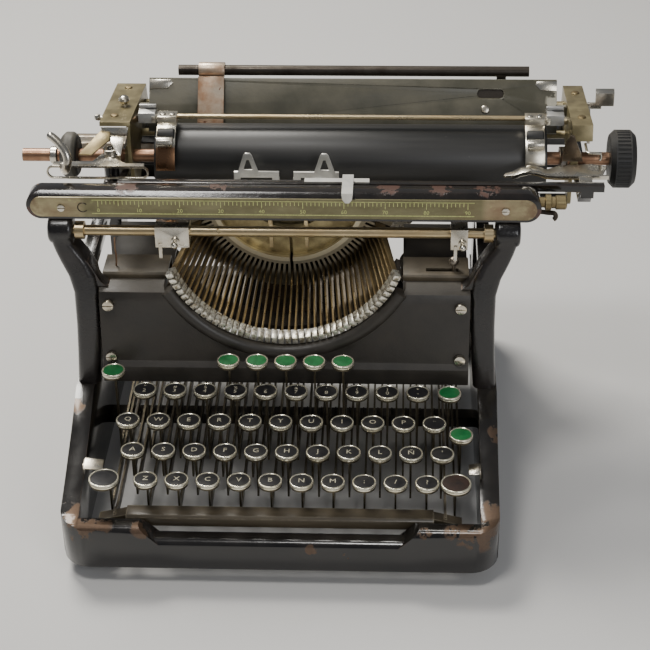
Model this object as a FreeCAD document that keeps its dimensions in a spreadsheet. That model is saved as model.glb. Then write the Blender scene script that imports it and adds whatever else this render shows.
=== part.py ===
"""A standard desk typewriter with a front-strike type basket, built as separate working pieces.

Machine frame: X = 0 is the centre plane, Y = 0 the front face of the base casting, +Y runs back,
Z = 0 the table.  Every piece is built there, and its Placement then moves it by (-datum_x, -datum_y),
so that the origin lies under the middle of the whole machine, carriage included.
"""
import FreeCAD, Part
import math
import os
import Sketcher

V = FreeCAD.Vector
doc = FreeCAD.newDocument("typewriter")

# ---------------------------------------------------------------- driving dimensions, millimetres

DIMENSIONS = {
    "datum_x": 24.2, "datum_y": 148.5,
    # base casting
    "base_half": 134.0, "base_rear": 286.0, "base_under": 12.0, "wall_thick": 11.5,
    "front_depth": 13.0, "front_low": 33.0, "corner_top": 42.5, "notch_half": 76.0,
    "side_top": 80.0, "side_crest": 96.0, "side_back": 70.0,
    # lyre columns and their bosses
    "column_front": 103.0, "column_back": 127.0, "boss_half": 137.5, "boss_high": 183.2,
    "boss_radius": 9.0, "boss_long": 15.5,
    # front plate with its scoop
    "plate_half": 115.7, "plate_face": 99.0, "plate_thick": 2.4, "plate_low": 84.0,
    "plate_high": 147.0, "plate_shelf": 20.0, "scoop_radius": 79.0,
    # front rail and scale
    "rail_half": 157.0, "rail_front": 114.0, "rail_back": 126.5, "rail_low": 192.4, "rail_high": 210.6,
    # margin rod
    "rod_back": 118.0, "rod_high": 182.4, "rod_radius": 3.3, "rod_half": 129.7,
    # type basket
    "basket_high": 188.0, "pivot_plane": 168.7, "pivot_radius": 62.0, "bar_length": 64.0,
    "bar_thick": 1.2, "bar_dip": 11.7, "fan_half": 67.5, "wire_radius": 0.8,
    # keyboard
    "key_pitch": 19.05, "key_radius": 7.1, "shift_radius": 9.0, "key_cap": 3.2,
    "lever_thick": 1.2, "lever_deep": 7.0, "fulcrum_back": 232.0, "fulcrum_high": 46.0,
    "fulcrum_radius": 2.5, "running_gap": 0.05,
    # carriage, centred on carriage_mid
    "carriage_mid": 39.5, "platen_back": 185.0, "platen_high": 200.0, "platen_radius": 21.0,
    "platen_half": 124.0, "shaft_radius": 4.2, "bracket_inner": 139.5, "bracket_outer": 152.5,
    "knob_radius": 18.5, "knob_thick": 16.0, "feed_radius": 8.0, "feed_gap": 0.3,
    "bail_back": 186.0, "bail_high": 227.5, "bail_radius": 1.6,
    "top_rod_radius": 3.4, "table_thick": 1.5,
    # rear works
    "drum_radius": 27.0, "bell_radius": 24.0, "spool_radius": 22.0, "spool_half": 93.5,
}

KEY_ROWS = {
    # row: (number of keys, X of the first key, Y of the row, Z of the key tops)
    "number": (10, -87.5, 81.0, 89.0),
    "upper": (11, -96.3, 62.0, 79.0),
    "home": (11, -91.5, 43.0, 70.0),
    "lower": (10, -81.7, 24.0, 62.0),
}
HOME_KEY_OF_MOVING_BAR = 5

sheet = doc.addObject("Spreadsheet::Sheet", "dims")
for row, (word, number) in enumerate(DIMENSIONS.items(), start=1):
    sheet.set(f"A{row}", str(number))
    sheet.setAlias(f"A{row}", word)
doc.recompute()


class Rule:
    """A size worked out from the sheet: its expression for setExpression, and its present value."""

    def __init__(self, text, value):
        self.text, self.value = text, value

    def __float__(self):
        return self.value

    def __add__(self, other):
        other = rule(other)
        return Rule(f"({self.text} + {other.text})", self.value + other.value)

    def __sub__(self, other):
        other = rule(other)
        return Rule(f"({self.text} - {other.text})", self.value - other.value)

    def __mul__(self, other):
        other = rule(other)
        return Rule(f"({self.text} * {other.text})", self.value * other.value)

    def __truediv__(self, other):
        other = rule(other)
        return Rule(f"({self.text} / {other.text})", self.value / other.value)

    def __radd__(self, other):
        return rule(other) + self

    def __rsub__(self, other):
        return rule(other) - self

    def __rmul__(self, other):
        return rule(other) * self

    def __neg__(self):
        return rule(0) - self


def rule(number):
    return number if isinstance(number, Rule) else Rule(repr(float(number)), float(number))


class Sizes:
    """Every word of the sheet as a Rule, read from the sheet itself."""

    def __getattr__(self, word):
        return Rule(f"dims.{word}", float(sheet.get(word)))


D = Sizes()

# ---------------------------------------------------------------- builders

NODES = {}
ALONG = {
    "x": FreeCAD.Rotation(V(0, 1, 0), 90),
    "y": FreeCAD.Rotation(V(1, 0, 0), -90),
    "z": FreeCAD.Rotation(),
}


def bind(obj, prop, size):
    size = rule(size)
    obj.setExpression(prop, size.text)


def put(obj, x, y, z):
    for letter, size in zip("xyz", (x, y, z)):
        bind(obj, f"Placement.Base.{letter}", size)


def unique(name):
    return f"{name}_{len(doc.Objects)}"


def block(x, y, z):
    """A box between the low and the high value on each axis."""
    obj = doc.addObject("Part::Box", unique("block"))
    for prop, (low, high) in zip(("Length", "Width", "Height"), (x, y, z)):
        bind(obj, prop, rule(high) - low)
    put(obj, x[0], y[0], z[0])
    return obj


def bar(axis, radius, start, length, at):
    """A round bar along an axis: start is where it begins on that axis, at the other two places."""
    obj = doc.addObject("Part::Cylinder", unique("bar"))
    bind(obj, "Radius", radius)
    bind(obj, "Height", length)
    obj.Placement = FreeCAD.Placement(V(), ALONG[axis])
    places = list(at)
    places.insert("xyz".index(axis), start)
    put(obj, *places)
    return obj


def ball(radius, x, y, z):
    obj = doc.addObject("Part::Sphere", unique("ball"))
    bind(obj, "Radius", radius)
    put(obj, x, y, z)
    return obj


def fuse(*pieces):
    obj = doc.addObject("Part::MultiFuse", unique("fuse"))
    obj.Shapes = list(pieces)
    return obj


def cut(base, *tools):
    obj = doc.addObject("Part::Cut", unique("cut"))
    obj.Base = base
    obj.Tool = tools[0] if len(tools) == 1 else fuse(*tools)
    return obj


def group(*pieces):
    obj = doc.addObject("Part::Compound", unique("group"))
    obj.Links = list(pieces)
    return obj


def solid(shape):
    """A piece whose shape comes from Part's own functions, with sizes read from the sheet."""
    obj = doc.addObject("Part::Feature", unique("solid"))
    obj.Shape = Part.makeCompound([shape])
    return obj


def fan_sector(radius, front, back, sweep):
    """The part of a disc about the basket's axis that lies within sweep degrees of straight down."""
    high = float(D.basket_high)
    disc = Part.makeCylinder(radius, back - front, V(0, front, high), V(0, 1, 0))
    far, turn = 3 * radius, math.radians(sweep)
    edge_x, edge_z = far * math.sin(turn), high - far * math.cos(turn)
    wedge = [(0, high), (edge_x, edge_z), (far, high - far), (-far, high - far), (-edge_x, edge_z)]
    return disc.common(outline(wedge, "xz", front, back - front))


def outline(points, plane, start, thick):
    """A flat polygon in plane "xz", "yz" or "xy", pulled along the third axis."""
    third = {"xz": 1, "yz": 0, "xy": 2}[plane]
    corners = []
    for first, second in points:
        place = [float(first), float(second)]
        place.insert(third, float(start))
        corners.append(V(*place))
    face = Part.Face(Part.makePolygon(corners + corners[:1]))
    pull = [0, 0, 0]
    pull[third] = float(thick)
    return face.extrude(V(*pull))


def turned(name, profile, axis, x, y, z):
    """A body of revolution: profile is (radius, height) from the axis and back to it, all bound."""
    body = doc.addObject("PartDesign::Body", unique(name))
    sketch = body.newObject("Sketcher::SketchObject", unique("profile"))
    plane = [f for f in body.Origin.OriginFeatures if f.Role == "XZ_Plane"][0]
    sketch.AttachmentSupport = [(plane, "")]
    sketch.MapMode = "FlatFace"
    spots = [(rule(r), rule(h)) for r, h in profile]
    count = len(spots)
    for i, (r, h) in enumerate(spots):
        after_r, after_h = spots[(i + 1) % count]
        ends = V(float(r), float(h), 0), V(float(after_r), float(after_h), 0)
        sketch.addGeometry(Part.LineSegment(*ends))
    for i in range(count):
        sketch.addConstraint(Sketcher.Constraint("Coincident", i, 2, (i + 1) % count, 1))
    for i, spot in enumerate(spots):
        for kind, size, axis_line in zip(("DistanceX", "DistanceY"), spot, (-2, -1)):
            if abs(float(size)) < 1e-9:
                sketch.addConstraint(Sketcher.Constraint("PointOnObject", i, 1, axis_line))
                continue
            at = sketch.addConstraint(Sketcher.Constraint(kind, -1, 1, i, 1, float(size)))
            sketch.setExpression(f"Constraints[{at}]", size.text)
    spin = body.newObject("PartDesign::Revolution", unique("turn"))
    spin.Profile = sketch
    spin.ReferenceAxis = (sketch, ["V_Axis"])
    spin.Angle = 360
    body.Placement = FreeCAD.Placement(V(), ALONG[axis])
    put(body, x, y, z)
    body.Tip = spin
    return body


def node(name, obj):
    """Keeps a finished sub-part, moved from the machine frame to the row's own frame."""
    if obj.TypeId in ("Part::Box", "Part::Cylinder", "Part::Sphere", "PartDesign::Body"):
        obj = group(obj)
    obj.Label = name
    put(obj, -D.datum_x, -D.datum_y, 0)
    NODES[name] = obj


def mirror(shape):
    """The same shape on the other side of the centre plane."""
    return shape.mirror(V(), V(1, 0, 0))


# ---------------------------------------------------------------- frame: casting, columns, plate

def base_casting():
    """A ring-shaped casting: low front rail with raised corners, side walls that climb to the rear."""
    half, thick = float(D.base_half), float(D.wall_thick)
    under, rear = float(D.base_under), float(D.base_rear)
    crest, side_top = float(D.side_crest), float(D.side_top)
    corner, depth = float(D.corner_top), float(D.front_depth)
    low, notch = float(D.front_low), float(D.notch_half)
    side_line = [
        (0, under), (0, corner), (depth, corner), (38, 52), (70, 66), (crest, side_top),
        (128, side_top), (140, float(D.side_back)), (rear, float(D.side_back)), (rear, under),
    ]
    left = outline(side_line, "yz", -half, thick)
    upright = [edge for edge in left.Edges if abs(edge.tangentAt(edge.FirstParameter).x) > 0.99]
    outer_front = [edge for edge in upright if edge.BoundBox.YMax < 1 and edge.BoundBox.ZMax > corner - 1]
    left = left.makeFillet(5.0, outer_front)
    slope = 9.0
    front_line = [
        (-half + 1, under), (-half + 1, corner - 0.4), (-notch - slope, corner - 0.4), (-notch, low),
        (notch, low), (notch + slope, corner - 0.4), (half - 1, corner - 0.4), (half - 1, under),
    ]
    front = outline(front_line, "xz", 0, depth)
    lengthwise = [edge for edge in front.Edges if edge.BoundBox.XLength > 20 and edge.BoundBox.ZMin > low - 1]
    front = front.makeFillet(4.5, lengthwise)
    back = Part.makeBox(2 * half - 2 * thick, 12, 46, V(-half + thick, rear - 12, under))
    ring = front.fuse([left, mirror(left), back])
    corners = []
    for side in (-1, 1):
        stop = Part.makeBox(30, 30, 60, V(side * (half - 12) - 15, -15, under - 5))
        round_post = Part.makeCylinder(18, 60, V(side * (half - 18), 18, under - 5))
        inside = Part.makeBox(60, 60, 80, V(side * (half - 48) - 30, -10, under - 10))
        beyond = Part.makeBox(60, 60, 80, V(side * half - 30, 18, under - 10))
        corners.append(stop.cut(round_post).cut(inside).cut(beyond))
    return ring.cut(corners).removeSplitter()


def column_section(level, inner, outer, front, back):
    """A rounded rectangle at one height of the left column; inner and outer are distances from X = 0."""
    wide, deep, radius = outer - inner, back - front, 4.5
    left, right = -outer, -inner
    lines = [
        Part.LineSegment(V(left + radius, front, level), V(right - radius, front, level)),
        Part.LineSegment(V(right, front + radius, level), V(right, back - radius, level)),
        Part.LineSegment(V(right - radius, back, level), V(left + radius, back, level)),
        Part.LineSegment(V(left, back - radius, level), V(left, front + radius, level)),
    ]
    bow = radius * (1 - math.sqrt(0.5))
    arcs = [
        Part.Arc(V(right - radius, front, level), V(right - bow, front + bow, level),
                 V(right, front + radius, level)),
        Part.Arc(V(right, back - radius, level), V(right - bow, back - bow, level),
                 V(right - radius, back, level)),
        Part.Arc(V(left + radius, back, level), V(left + bow, back - bow, level),
                 V(left, back - radius, level)),
        Part.Arc(V(left, front + radius, level), V(left + bow, front + bow, level),
                 V(left + radius, front, level)),
    ]
    order = [lines[0], arcs[0], lines[1], arcs[1], lines[2], arcs[2], lines[3], arcs[3]]
    return Part.Wire([piece.toShape() for piece in order])


def left_column():
    """Lyre column: it leans out from the side wall to a domed boss that holds the rail and the rod."""
    front, back = float(D.column_front), float(D.column_back)
    sections = [
        # height, inner edge, outer edge, front, back
        (80.0, 119.0, 133.4, front - 4, back),
        (100.0, 117.4, 132.2, front - 3, back),
        (122.0, 116.5, 131.4, front - 1, back),
        (144.0, 116.2, 131.6, front + 1.5, back),
        (155.0, 117.6, 134.4, front + 3.2, back),
        (164.0, 121.4, 138.6, front + 4.6, back),
        (171.0, 126.0, 141.4, front + 5.4, back),
        (176.0, 129.9, 143.0, front + 6.0, back),
        (182.0, 129.9, 144.4, front + 6.4, back - 1.0),
    ]
    post = Part.makeLoft([column_section(*section) for section in sections], True, True)
    boss_half, radius = float(D.boss_half), float(D.boss_radius)
    long = float(D.boss_long)
    boss = Part.makeCylinder(radius, long, V(-boss_half - long / 2, float(D.rod_back), float(D.boss_high)),
                             V(1, 0, 0))
    boss = boss.makeFillet(3.0, [edge for edge in boss.Edges if edge.Closed])
    gusset = outline([(-110.0, 147.05), (-112.5, 148.0), (-115.0, 150.6), (-117.0, 155.0), (-119.3, 160.0),
                      (-121.6, 164.6), (-126.0, 164.6), (-126.0, 147.05)], "xz", front + 6.5, 9.8)
    return post.fuse([boss, gusset]).removeSplitter()


def front_plate():
    """Dark dress plate: a flat apron, a ledge, a rounded top and a round scoop for the type basket."""
    half, face, thick = float(D.plate_half), float(D.plate_face), float(D.plate_thick)
    low, high, shelf = float(D.plate_low), float(D.plate_high), float(D.plate_shelf)
    lean, ledge, step = 5.0, 98.0, 3.0
    roll = 7.0
    outside = [
        (face - 2, low), (face - 2, ledge - step), (face - 2 + step, ledge), (face + lean, high - roll),
        (face + lean + roll * 0.3, high - roll * 0.3), (face + lean + roll, high),
        (face + lean + shelf, high),
    ]
    inside = [(y, z - thick) if i > 4 else (y + thick, z) for i, (y, z) in enumerate(outside)]
    inside[4] = (outside[4][0] + thick * 0.7, outside[4][1] - thick * 0.7)
    apron = outline(outside + inside[::-1], "yz", -half, 2 * half)
    centre = float(D.basket_high)
    scoop = Part.makeCylinder(float(D.scoop_radius), 80, V(0, face - 20, centre), V(0, 1, 0))
    flare = outline([(-79, high + 5), (-66, high - 14), (66, high - 14), (79, high + 5)], "xz", face - 20, 80)
    plate = apron.cut(scoop.fuse(flare))
    rim_radius, rim_angle = 4.6, 60.0
    tilt = math.radians(6.6)
    rim = Part.makeTorus(float(D.scoop_radius) + 5.0, rim_radius, V(0, face + 13.2, centre),
                         V(0, math.cos(tilt), -math.sin(tilt)))
    lower = fan_sector(float(D.scoop_radius) + 12, face - 5, face + 30, rim_angle)
    return plate.fuse(rim.common(lower)).removeSplitter()


def screws_at(places, radius, long):
    """Round-headed slotted screws whose heads face the front."""
    pieces = []
    for x, y, z in places:
        head = bar("y", radius, y, long, (x, z))
        slot = block((rule(x) - radius - 1, rule(x) + radius + 1), (rule(y) - 1, rule(y) + 0.7),
                     (rule(z) - 0.45, rule(z) + 0.45))
        pieces.append(cut(head, slot))
    return pieces


def rubber_feet():
    """Four domed rubber feet under the corners of the casting."""
    inset, radius = 17.0, 11.0
    feet = []
    for side in (-1, 1):
        for back in (rule(24), D.base_rear - 22):
            profile = [(0, 0), (radius - 1.5, 0), (radius, 2), (radius, D.base_under - 2),
                       (radius - 3, D.base_under), (0, D.base_under)]
            feet.append(turned("foot", profile, "z", side * (D.base_half - inset), back, 0))
    return group(*feet)


def foot_pads():
    """Cast lugs that carry the feet, joined to the side walls."""
    lugs = []
    for side in (-1, 1):
        for back in (24.0, float(D.base_rear) - 22):
            x = side * (float(D.base_half) - 17)
            lugs.append(Part.makeCylinder(12, 4.8, V(x, back, float(D.base_under))))
    return lugs


node("base_casting", solid(base_casting().fuse(foot_pads()).removeSplitter()))
node("side_columns", solid(Part.makeCompound([left_column(), mirror(left_column())])))
node("front_plate", solid(front_plate()))
node("rubber_feet", rubber_feet())

PLATE_SCREWS = [(side * 110, level_y, level_z) for side in (-1, 1)
                for level_y, level_z in ((D.plate_face + 1.74, 137.5), (D.plate_face - 1.62, 101.5))]

# ---------------------------------------------------------------- front rail, scale and margin rod

def rail_profile():
    """A long bar with rounded ends, a round upper bead and a flat face for the scale."""
    body = doc.addObject("PartDesign::Body", unique("rail"))
    sketch = body.newObject("Sketcher::SketchObject", unique("profile"))
    plane = [f for f in body.Origin.OriginFeatures if f.Role == "XZ_Plane"][0]
    sketch.AttachmentSupport = [(plane, "")]
    sketch.MapMode = "FlatFace"
    high = D.rail_high - D.rail_low
    radius, reach = high / 2, D.rail_half - high / 2
    r, a = float(radius), float(reach)
    quarter = math.pi / 2
    right_end, left_end = Part.Circle(V(a, r, 0), V(0, 0, 1), r), Part.Circle(V(-a, r, 0), V(0, 0, 1), r)
    sketch.addGeometry(Part.LineSegment(V(-a, 0, 0), V(a, 0, 0)))
    sketch.addGeometry(Part.ArcOfCircle(right_end, -quarter, quarter))
    sketch.addGeometry(Part.LineSegment(V(a, 2 * r, 0), V(-a, 2 * r, 0)))
    sketch.addGeometry(Part.ArcOfCircle(left_end, quarter, 3 * quarter))
    for one, other in ((0, 1), (1, 2), (2, 3), (3, 0)):
        sketch.addConstraint(Sketcher.Constraint("Tangent", one, 2, other, 1))
    sketch.addConstraint(Sketcher.Constraint("Horizontal", 0))
    sketch.addConstraint(Sketcher.Constraint("Symmetric", 0, 1, 0, 2, -1, 1))
    at = sketch.addConstraint(Sketcher.Constraint("Radius", 1, r))
    sketch.setExpression(f"Constraints[{at}]", radius.text)
    at = sketch.addConstraint(Sketcher.Constraint("DistanceX", 0, 1, 0, 2, 2 * a))
    sketch.setExpression(f"Constraints[{at}]", (reach * 2).text)
    pad = body.newObject("PartDesign::Pad", unique("pad"))
    pad.Profile = sketch
    pad.Reversed = True
    bind(pad, "Length", D.rail_back - D.rail_front)
    put(body, 0, D.rail_front, D.rail_low)
    body.Tip = pad
    return body


def front_rail():
    """The rail body, with its upper front edge set back so that the bead above the scale stands out."""
    body = rail_profile()
    front, high = float(D.rail_front), float(D.rail_high)
    top = outline([(front - 1, high - 4), (front - 1, high + 1), (front + 4, high + 1)], "yz", -170, 340)
    return cut(body, solid(top))


node("front_rail", front_rail())
SCALE_SCREW = (135.4, 200.6)
scale_half_high = (D.rail_high - D.rail_low) / 2 - 2.4
scale_middle = (D.rail_low + D.rail_high) / 2 - 0.4
scale_reach = D.rail_half - 9.4
scale_face = D.rail_front - 1.0
node("scale_plate", cut(
    fuse(
        block((-scale_reach, scale_reach), (scale_face, D.rail_front),
              (scale_middle - scale_half_high, scale_middle + scale_half_high)),
        *[bar("y", scale_half_high, scale_face, 1.0, (side * scale_reach, scale_middle)) for side in (-1, 1)],
    ),
    *[bar("y", 2.4, scale_face - 2, 6, (side * SCALE_SCREW[0], SCALE_SCREW[1])) for side in (-1, 1)],
))
node("frame_screws", group(
    *screws_at(PLATE_SCREWS, rule(3.4), rule(2.6)),
    *screws_at([(side * SCALE_SCREW[0], D.rail_front - 1.8, SCALE_SCREW[1]) for side in (-1, 1)],
               rule(2.3), rule(1.7)),
))
node("margin_rod", fuse(
    bar("x", D.rod_radius, -D.rod_half, D.rod_half * 2, (D.rod_back, D.rod_high)),
    bar("x", D.rod_radius + 2.4, -D.rod_half + 1.0, 5.5, (D.rod_back, D.rod_high)),
    bar("x", D.rod_radius + 2.4, D.rod_half - 6.5, 5.5, (D.rod_back, D.rod_high)),
))


def margin_stop(middle, long):
    """A sliding stop: a block bored for the rod, a clamping ball screw and a wire finger."""
    back, high = D.rod_back, D.rod_high
    shell = block((middle - long / 2, middle + long / 2), (back - 7, back + 6), (high - 8, high + 6))
    bore = bar("x", D.rod_radius + D.running_gap, middle - long, long * 2, (back, high))
    screw = fuse(
        bar("y", 2.6, back - 9.5, 2.6, (middle + 2, high - 3)),
        bar("y", 1.4, back - 13, 4, (middle + 2, high - 3)),
        ball(2.2, middle + 2, back - 13, high - 3),
    )
    edge = middle - long / 2
    finger = block((edge + 2, edge + 4), (back - 8, back - 6.9), (high - 15, high - 5))
    return fuse(cut(shell, bore), screw, finger)


node("margin_stop_left", margin_stop(rule(-68.2), rule(21)))
node("margin_stop_right", margin_stop(rule(107.9), rule(10.4)))

# ---------------------------------------------------------------- type basket

BAR_COUNT = sum(row[0] for row in KEY_ROWS.values())


def bar_angle(index):
    """Angle of a typebar in the fan, from straight down, positive to the right."""
    pitch = 2 * float(D.fan_half) / (BAR_COUNT - 1)
    return -float(D.fan_half) + pitch * index


def typebar_outline():
    """One typebar at rest, in the YZ plane at X = 0 and with its pivot at the origin."""
    length, dip = float(D.bar_length), math.radians(float(D.bar_dip))
    along = V(0, -math.cos(dip), -math.sin(dip))
    across = V(0, -math.sin(dip), math.cos(dip))
    corners = [(-4, 2.2), (3, 3.2), (16, 3.0), (22, 1.8), (length - 2, 1.5), (length - 2, -1.5), (20, -2.4),
               (6, -4.2), (-4, -3.0)]
    places = [along * a + across * b for a, b in corners]
    face = Part.Face(Part.makePolygon(places + places[:1]))
    thick = float(D.bar_thick)
    blade = face.extrude(V(thick, 0, 0))
    blade.translate(V(-thick / 2, 0, 0))
    slug = Part.makeBox(3.3, 7.5, 4.6, V(-1.65, -4.4, -2.3))
    slug.rotate(V(), V(1, 0, 0), float(D.bar_dip))
    slug.translate(along * (length - 0.5))
    return blade.fuse(slug).removeSplitter()


def in_fan(shape, index):
    """A shape drawn about the pivot of a straight-down bar, moved to its place in the fan."""
    moved = shape.copy()
    moved.translate(V(0, float(D.pivot_plane), float(D.basket_high) - float(D.pivot_radius)))
    moved.rotate(V(0, 0, float(D.basket_high)), V(0, 1, 0), -bar_angle(index))
    return moved


def moving_bar_index():
    """The place of the jointed bar: levers and bars stand in the same order from left to right."""
    count, first, _, _ = KEY_ROWS["home"]
    pitch = float(D.key_pitch)
    here = first + pitch * HOME_KEY_OF_MOVING_BAR
    return sum(1 for number, start, _, _ in KEY_ROWS.values()
               for i in range(number) if start + pitch * i < here - 0.01)


MOVING = moving_bar_index()


def type_segment():
    """Slotted half-ring in which the typebars pivot, with its polished face ring and the pivot wire."""
    plane, high, radius = float(D.pivot_plane), float(D.basket_high), float(D.pivot_radius)
    sweep = float(D.fan_half) + 6.5
    inner, outer = radius - 12, radius + 9

    def sector(r, y0, y1):
        return fan_sector(r, y0, y1, sweep)

    ring = sector(outer, plane - 6, plane + 9).cut(sector(inner, plane - 7, plane + 10))
    slot_wide = float(D.bar_thick) + 0.5
    slots = []
    for index in range(BAR_COUNT):
        slot = Part.makeBox(slot_wide, 13.5, outer - inner + 8, V(-slot_wide / 2, -7, inner - radius + 5))
        slot.rotate(V(), V(1, 0, 0), 180)
        slot.translate(V(0, -1, 0))
        slots.append(in_fan(slot, index))
    ring = ring.cut(slots)
    web = sector(inner, plane - 2, plane + 9).cut(sector(30, plane - 3, plane + 10))
    lip = sector(inner + 1.5, plane - 8.5, plane - 6).cut(sector(inner - 1.5, plane - 9, plane - 5))
    neck = sector(inner, plane - 6, plane - 2).cut(sector(inner - 1.5, plane - 7, plane - 1))
    foot = Part.makeBox(40, 9, 36, V(-20, plane + 6, high - outer - 34))
    free_way = Part.makeBox(slot_wide + 0.3, 14, 34, V(-slot_wide / 2 - 0.15, -10, -2))
    ring, web, neck, lip = [piece.cut(in_fan(free_way, MOVING)) for piece in (ring, web, neck, lip)]
    wire = Part.makeTorus(radius, float(D.wire_radius), V(0, plane, high), V(0, 1, 0))
    wire = wire.common(sector(radius + 4, plane - 3, plane + 3))
    return ring.fuse([web, neck, lip, foot, wire]).removeSplitter()


def typebar(index):
    return in_fan(typebar_outline(), index)


segment = type_segment()
bars = [typebar(index).cut(segment) for index in range(BAR_COUNT) if index != MOVING]
node("type_segment", solid(segment))
node("typebars", solid(Part.makeCompound([max(piece.Solids, key=lambda s: s.Volume) for piece in bars])))
loose_bar = typebar_outline()
eye = Part.makeCylinder(float(D.wire_radius) + 0.1, 6, V(-3, 0, 0), V(1, 0, 0))
node("typebar_h", solid(in_fan(loose_bar.cut(eye), MOVING)))


def symmetric(half_line, middle, low, start, thick):
    """A flat shape in the XZ plane from half its outline: (distance from the middle, height above low)."""
    right = [(middle + x, low + z) for x, z in half_line]
    left = [(middle - x, low + z) for x, z in half_line[::-1]]
    return outline(right + left, "xz", start, thick)


def card_holder():
    """Type guide at the printing point with two upright card fingers, each with a triangular window."""
    back, high = 156.6, 198.8
    bridge = Part.makeBox(66, 2.0, 4.0, V(-33, back - 1, high + 1))
    notch = Part.makeBox(9, 10, 12, V(-4.5, back - 5, high - 4))
    pieces = [bridge.cut(notch)]
    for side in (-1, 1):
        middle = side * 24.0
        half_line = [(6.6, 3), (6.4, 5), (2.6, 16.6), (1.4, 18)]
        finger = symmetric(half_line, middle, high, back - 1, 1.4)
        window = symmetric([(2.9, 6.4), (0.8, 13.4)], middle, high, back - 2, 4)
        post = Part.makeBox(4, 2.0, 6, V(side * 31 - 2, back - 1, high - 3))
        pieces += [finger.cut(window), post]
    guide = outline([(-4.2, high + 1), (-9, high + 1), (-9, high - 8), (-5.4, high - 8)], "xz", back - 1, 2)
    pieces += [guide, mirror(guide)]
    whole = pieces[0].fuse(pieces[1:])
    arms = []
    for side in (-1, 1):
        start = float(D.rail_back)
        arms.append(Part.makeBox(3, back - start, 2, V(side * 31 - 1.5, start, high - 4)))
    return whole.fuse(arms).removeSplitter()


node("card_holder", solid(card_holder()))


def ribbon_vibrator():
    """Forked carrier that lifts the ribbon at the printing point; the bars pass between its prongs."""
    front, low, off, wide = 157.6, 165.0, 11.5, 2.2
    pieces = [Part.makeBox(2 * off + wide, 1.6, 5, V(-off - wide / 2, 168.4, low))]
    for side in (-1, 1):
        start = side * off - wide / 2
        pieces.append(Part.makeBox(wide, 1.2, 22, V(start, front, low)))
        pieces.append(Part.makeBox(wide, 170 - front, 1.2, V(start, front, low)))
        pieces.append(Part.makeBox(wide, 2.8, low - 145, V(start, 163.4, 145)))
    return pieces[0].fuse(pieces[1:]).removeSplitter()


node("ribbon_vibrator", solid(ribbon_vibrator()))

# ---------------------------------------------------------------- keyboard

def lever(x, y, top, radius, bar_low, pivot, pivot_bore, deep, aside=0.0):
    """One key: round cap, cranked stem and a flat lever bored at its rear end for the fulcrum."""
    thick, cap = float(D.lever_thick), float(D.key_cap)
    pivot_y, pivot_z = pivot
    crank_y, crank_z, tail = 7.5, top - cap - 9.0, 6.0
    shape = [
        (y - 1.8, top - cap), (y + 2.0, top - cap), (y + crank_y, crank_z), (y + crank_y, bar_low + deep),
        (pivot_y - 8, pivot_z + deep / 2), (pivot_y + tail, pivot_z + deep / 2),
        (pivot_y + tail, pivot_z - deep / 2), (pivot_y - 8, pivot_z - deep / 2),
        (y + crank_y - 3.5, bar_low), (y + crank_y - 3.5, crank_z + 1),
    ]
    blade = outline(shape, "yz", x + aside - thick / 2, thick)
    hole = Part.makeCylinder(pivot_bore, 4, V(x + aside - 2, pivot_y, pivot_z), V(1, 0, 0))
    disc = Part.makeCylinder(radius, cap, V(x, y, top - cap))
    upper_rim = [edge for edge in disc.Edges if edge.Closed and edge.BoundBox.ZMin > top - 0.1]
    disc = disc.makeChamfer(0.6, upper_rim)
    socket = Part.makeCone(2.2, 4.2, 2.4, V(x, y, top - cap - 2.4))
    return blade.cut(hole).fuse([disc, socket]).removeSplitter()


def main_lever(x, y, top, radius=None, aside=0.0):
    bore = float(D.fulcrum_radius + D.running_gap)
    pivot = (float(D.fulcrum_back), float(D.fulcrum_high))
    return lever(x, y, top, float(radius or D.key_radius), 32.0, pivot, bore, float(D.lever_deep), aside)


def key_row(name):
    count, first, y, top = KEY_ROWS[name]
    keys = []
    for i in range(count):
        if name == "home" and i == HOME_KEY_OF_MOVING_BAR:
            continue
        keys.append(main_lever(first + float(D.key_pitch) * i, y, top))
    return keys


for name in KEY_ROWS:
    node(f"keys_{name}_row", solid(Part.makeCompound(key_row(name))))
_, home_first, home_y, home_top = KEY_ROWS["home"]
node("key_h", solid(main_lever(home_first + float(D.key_pitch) * HOME_KEY_OF_MOVING_BAR, home_y, home_top)))
node("shift_key_left", solid(main_lever(-107.2, 24.0, 62.0, D.shift_radius, 2.6)))
node("shift_key_right", solid(main_lever(107.2, 24.0, 62.0, D.shift_radius)))
node("backspace_key", solid(main_lever(-107.6, 88.0, 98.3)))
node("margin_release_key", solid(main_lever(103.6, 81.0, 89.0)))
node("shift_lock_key", solid(main_lever(110.6, 55.0, 76.0)))

TAB_FULCRUM = (205.0, 62.0, 2.0)
TAB_MIDDLE, TAB_PITCH = 1.2, 17.9
for number in range(5):
    *pivot, pivot_r = TAB_FULCRUM
    piece = lever(TAB_MIDDLE + TAB_PITCH * (number - 2), 87.0, 107.6, float(D.key_radius) - 0.3, 57.0,
                  pivot, pivot_r + float(D.running_gap), 5.0)
    node(f"tab_key_{number + 1}", solid(piece))


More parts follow.
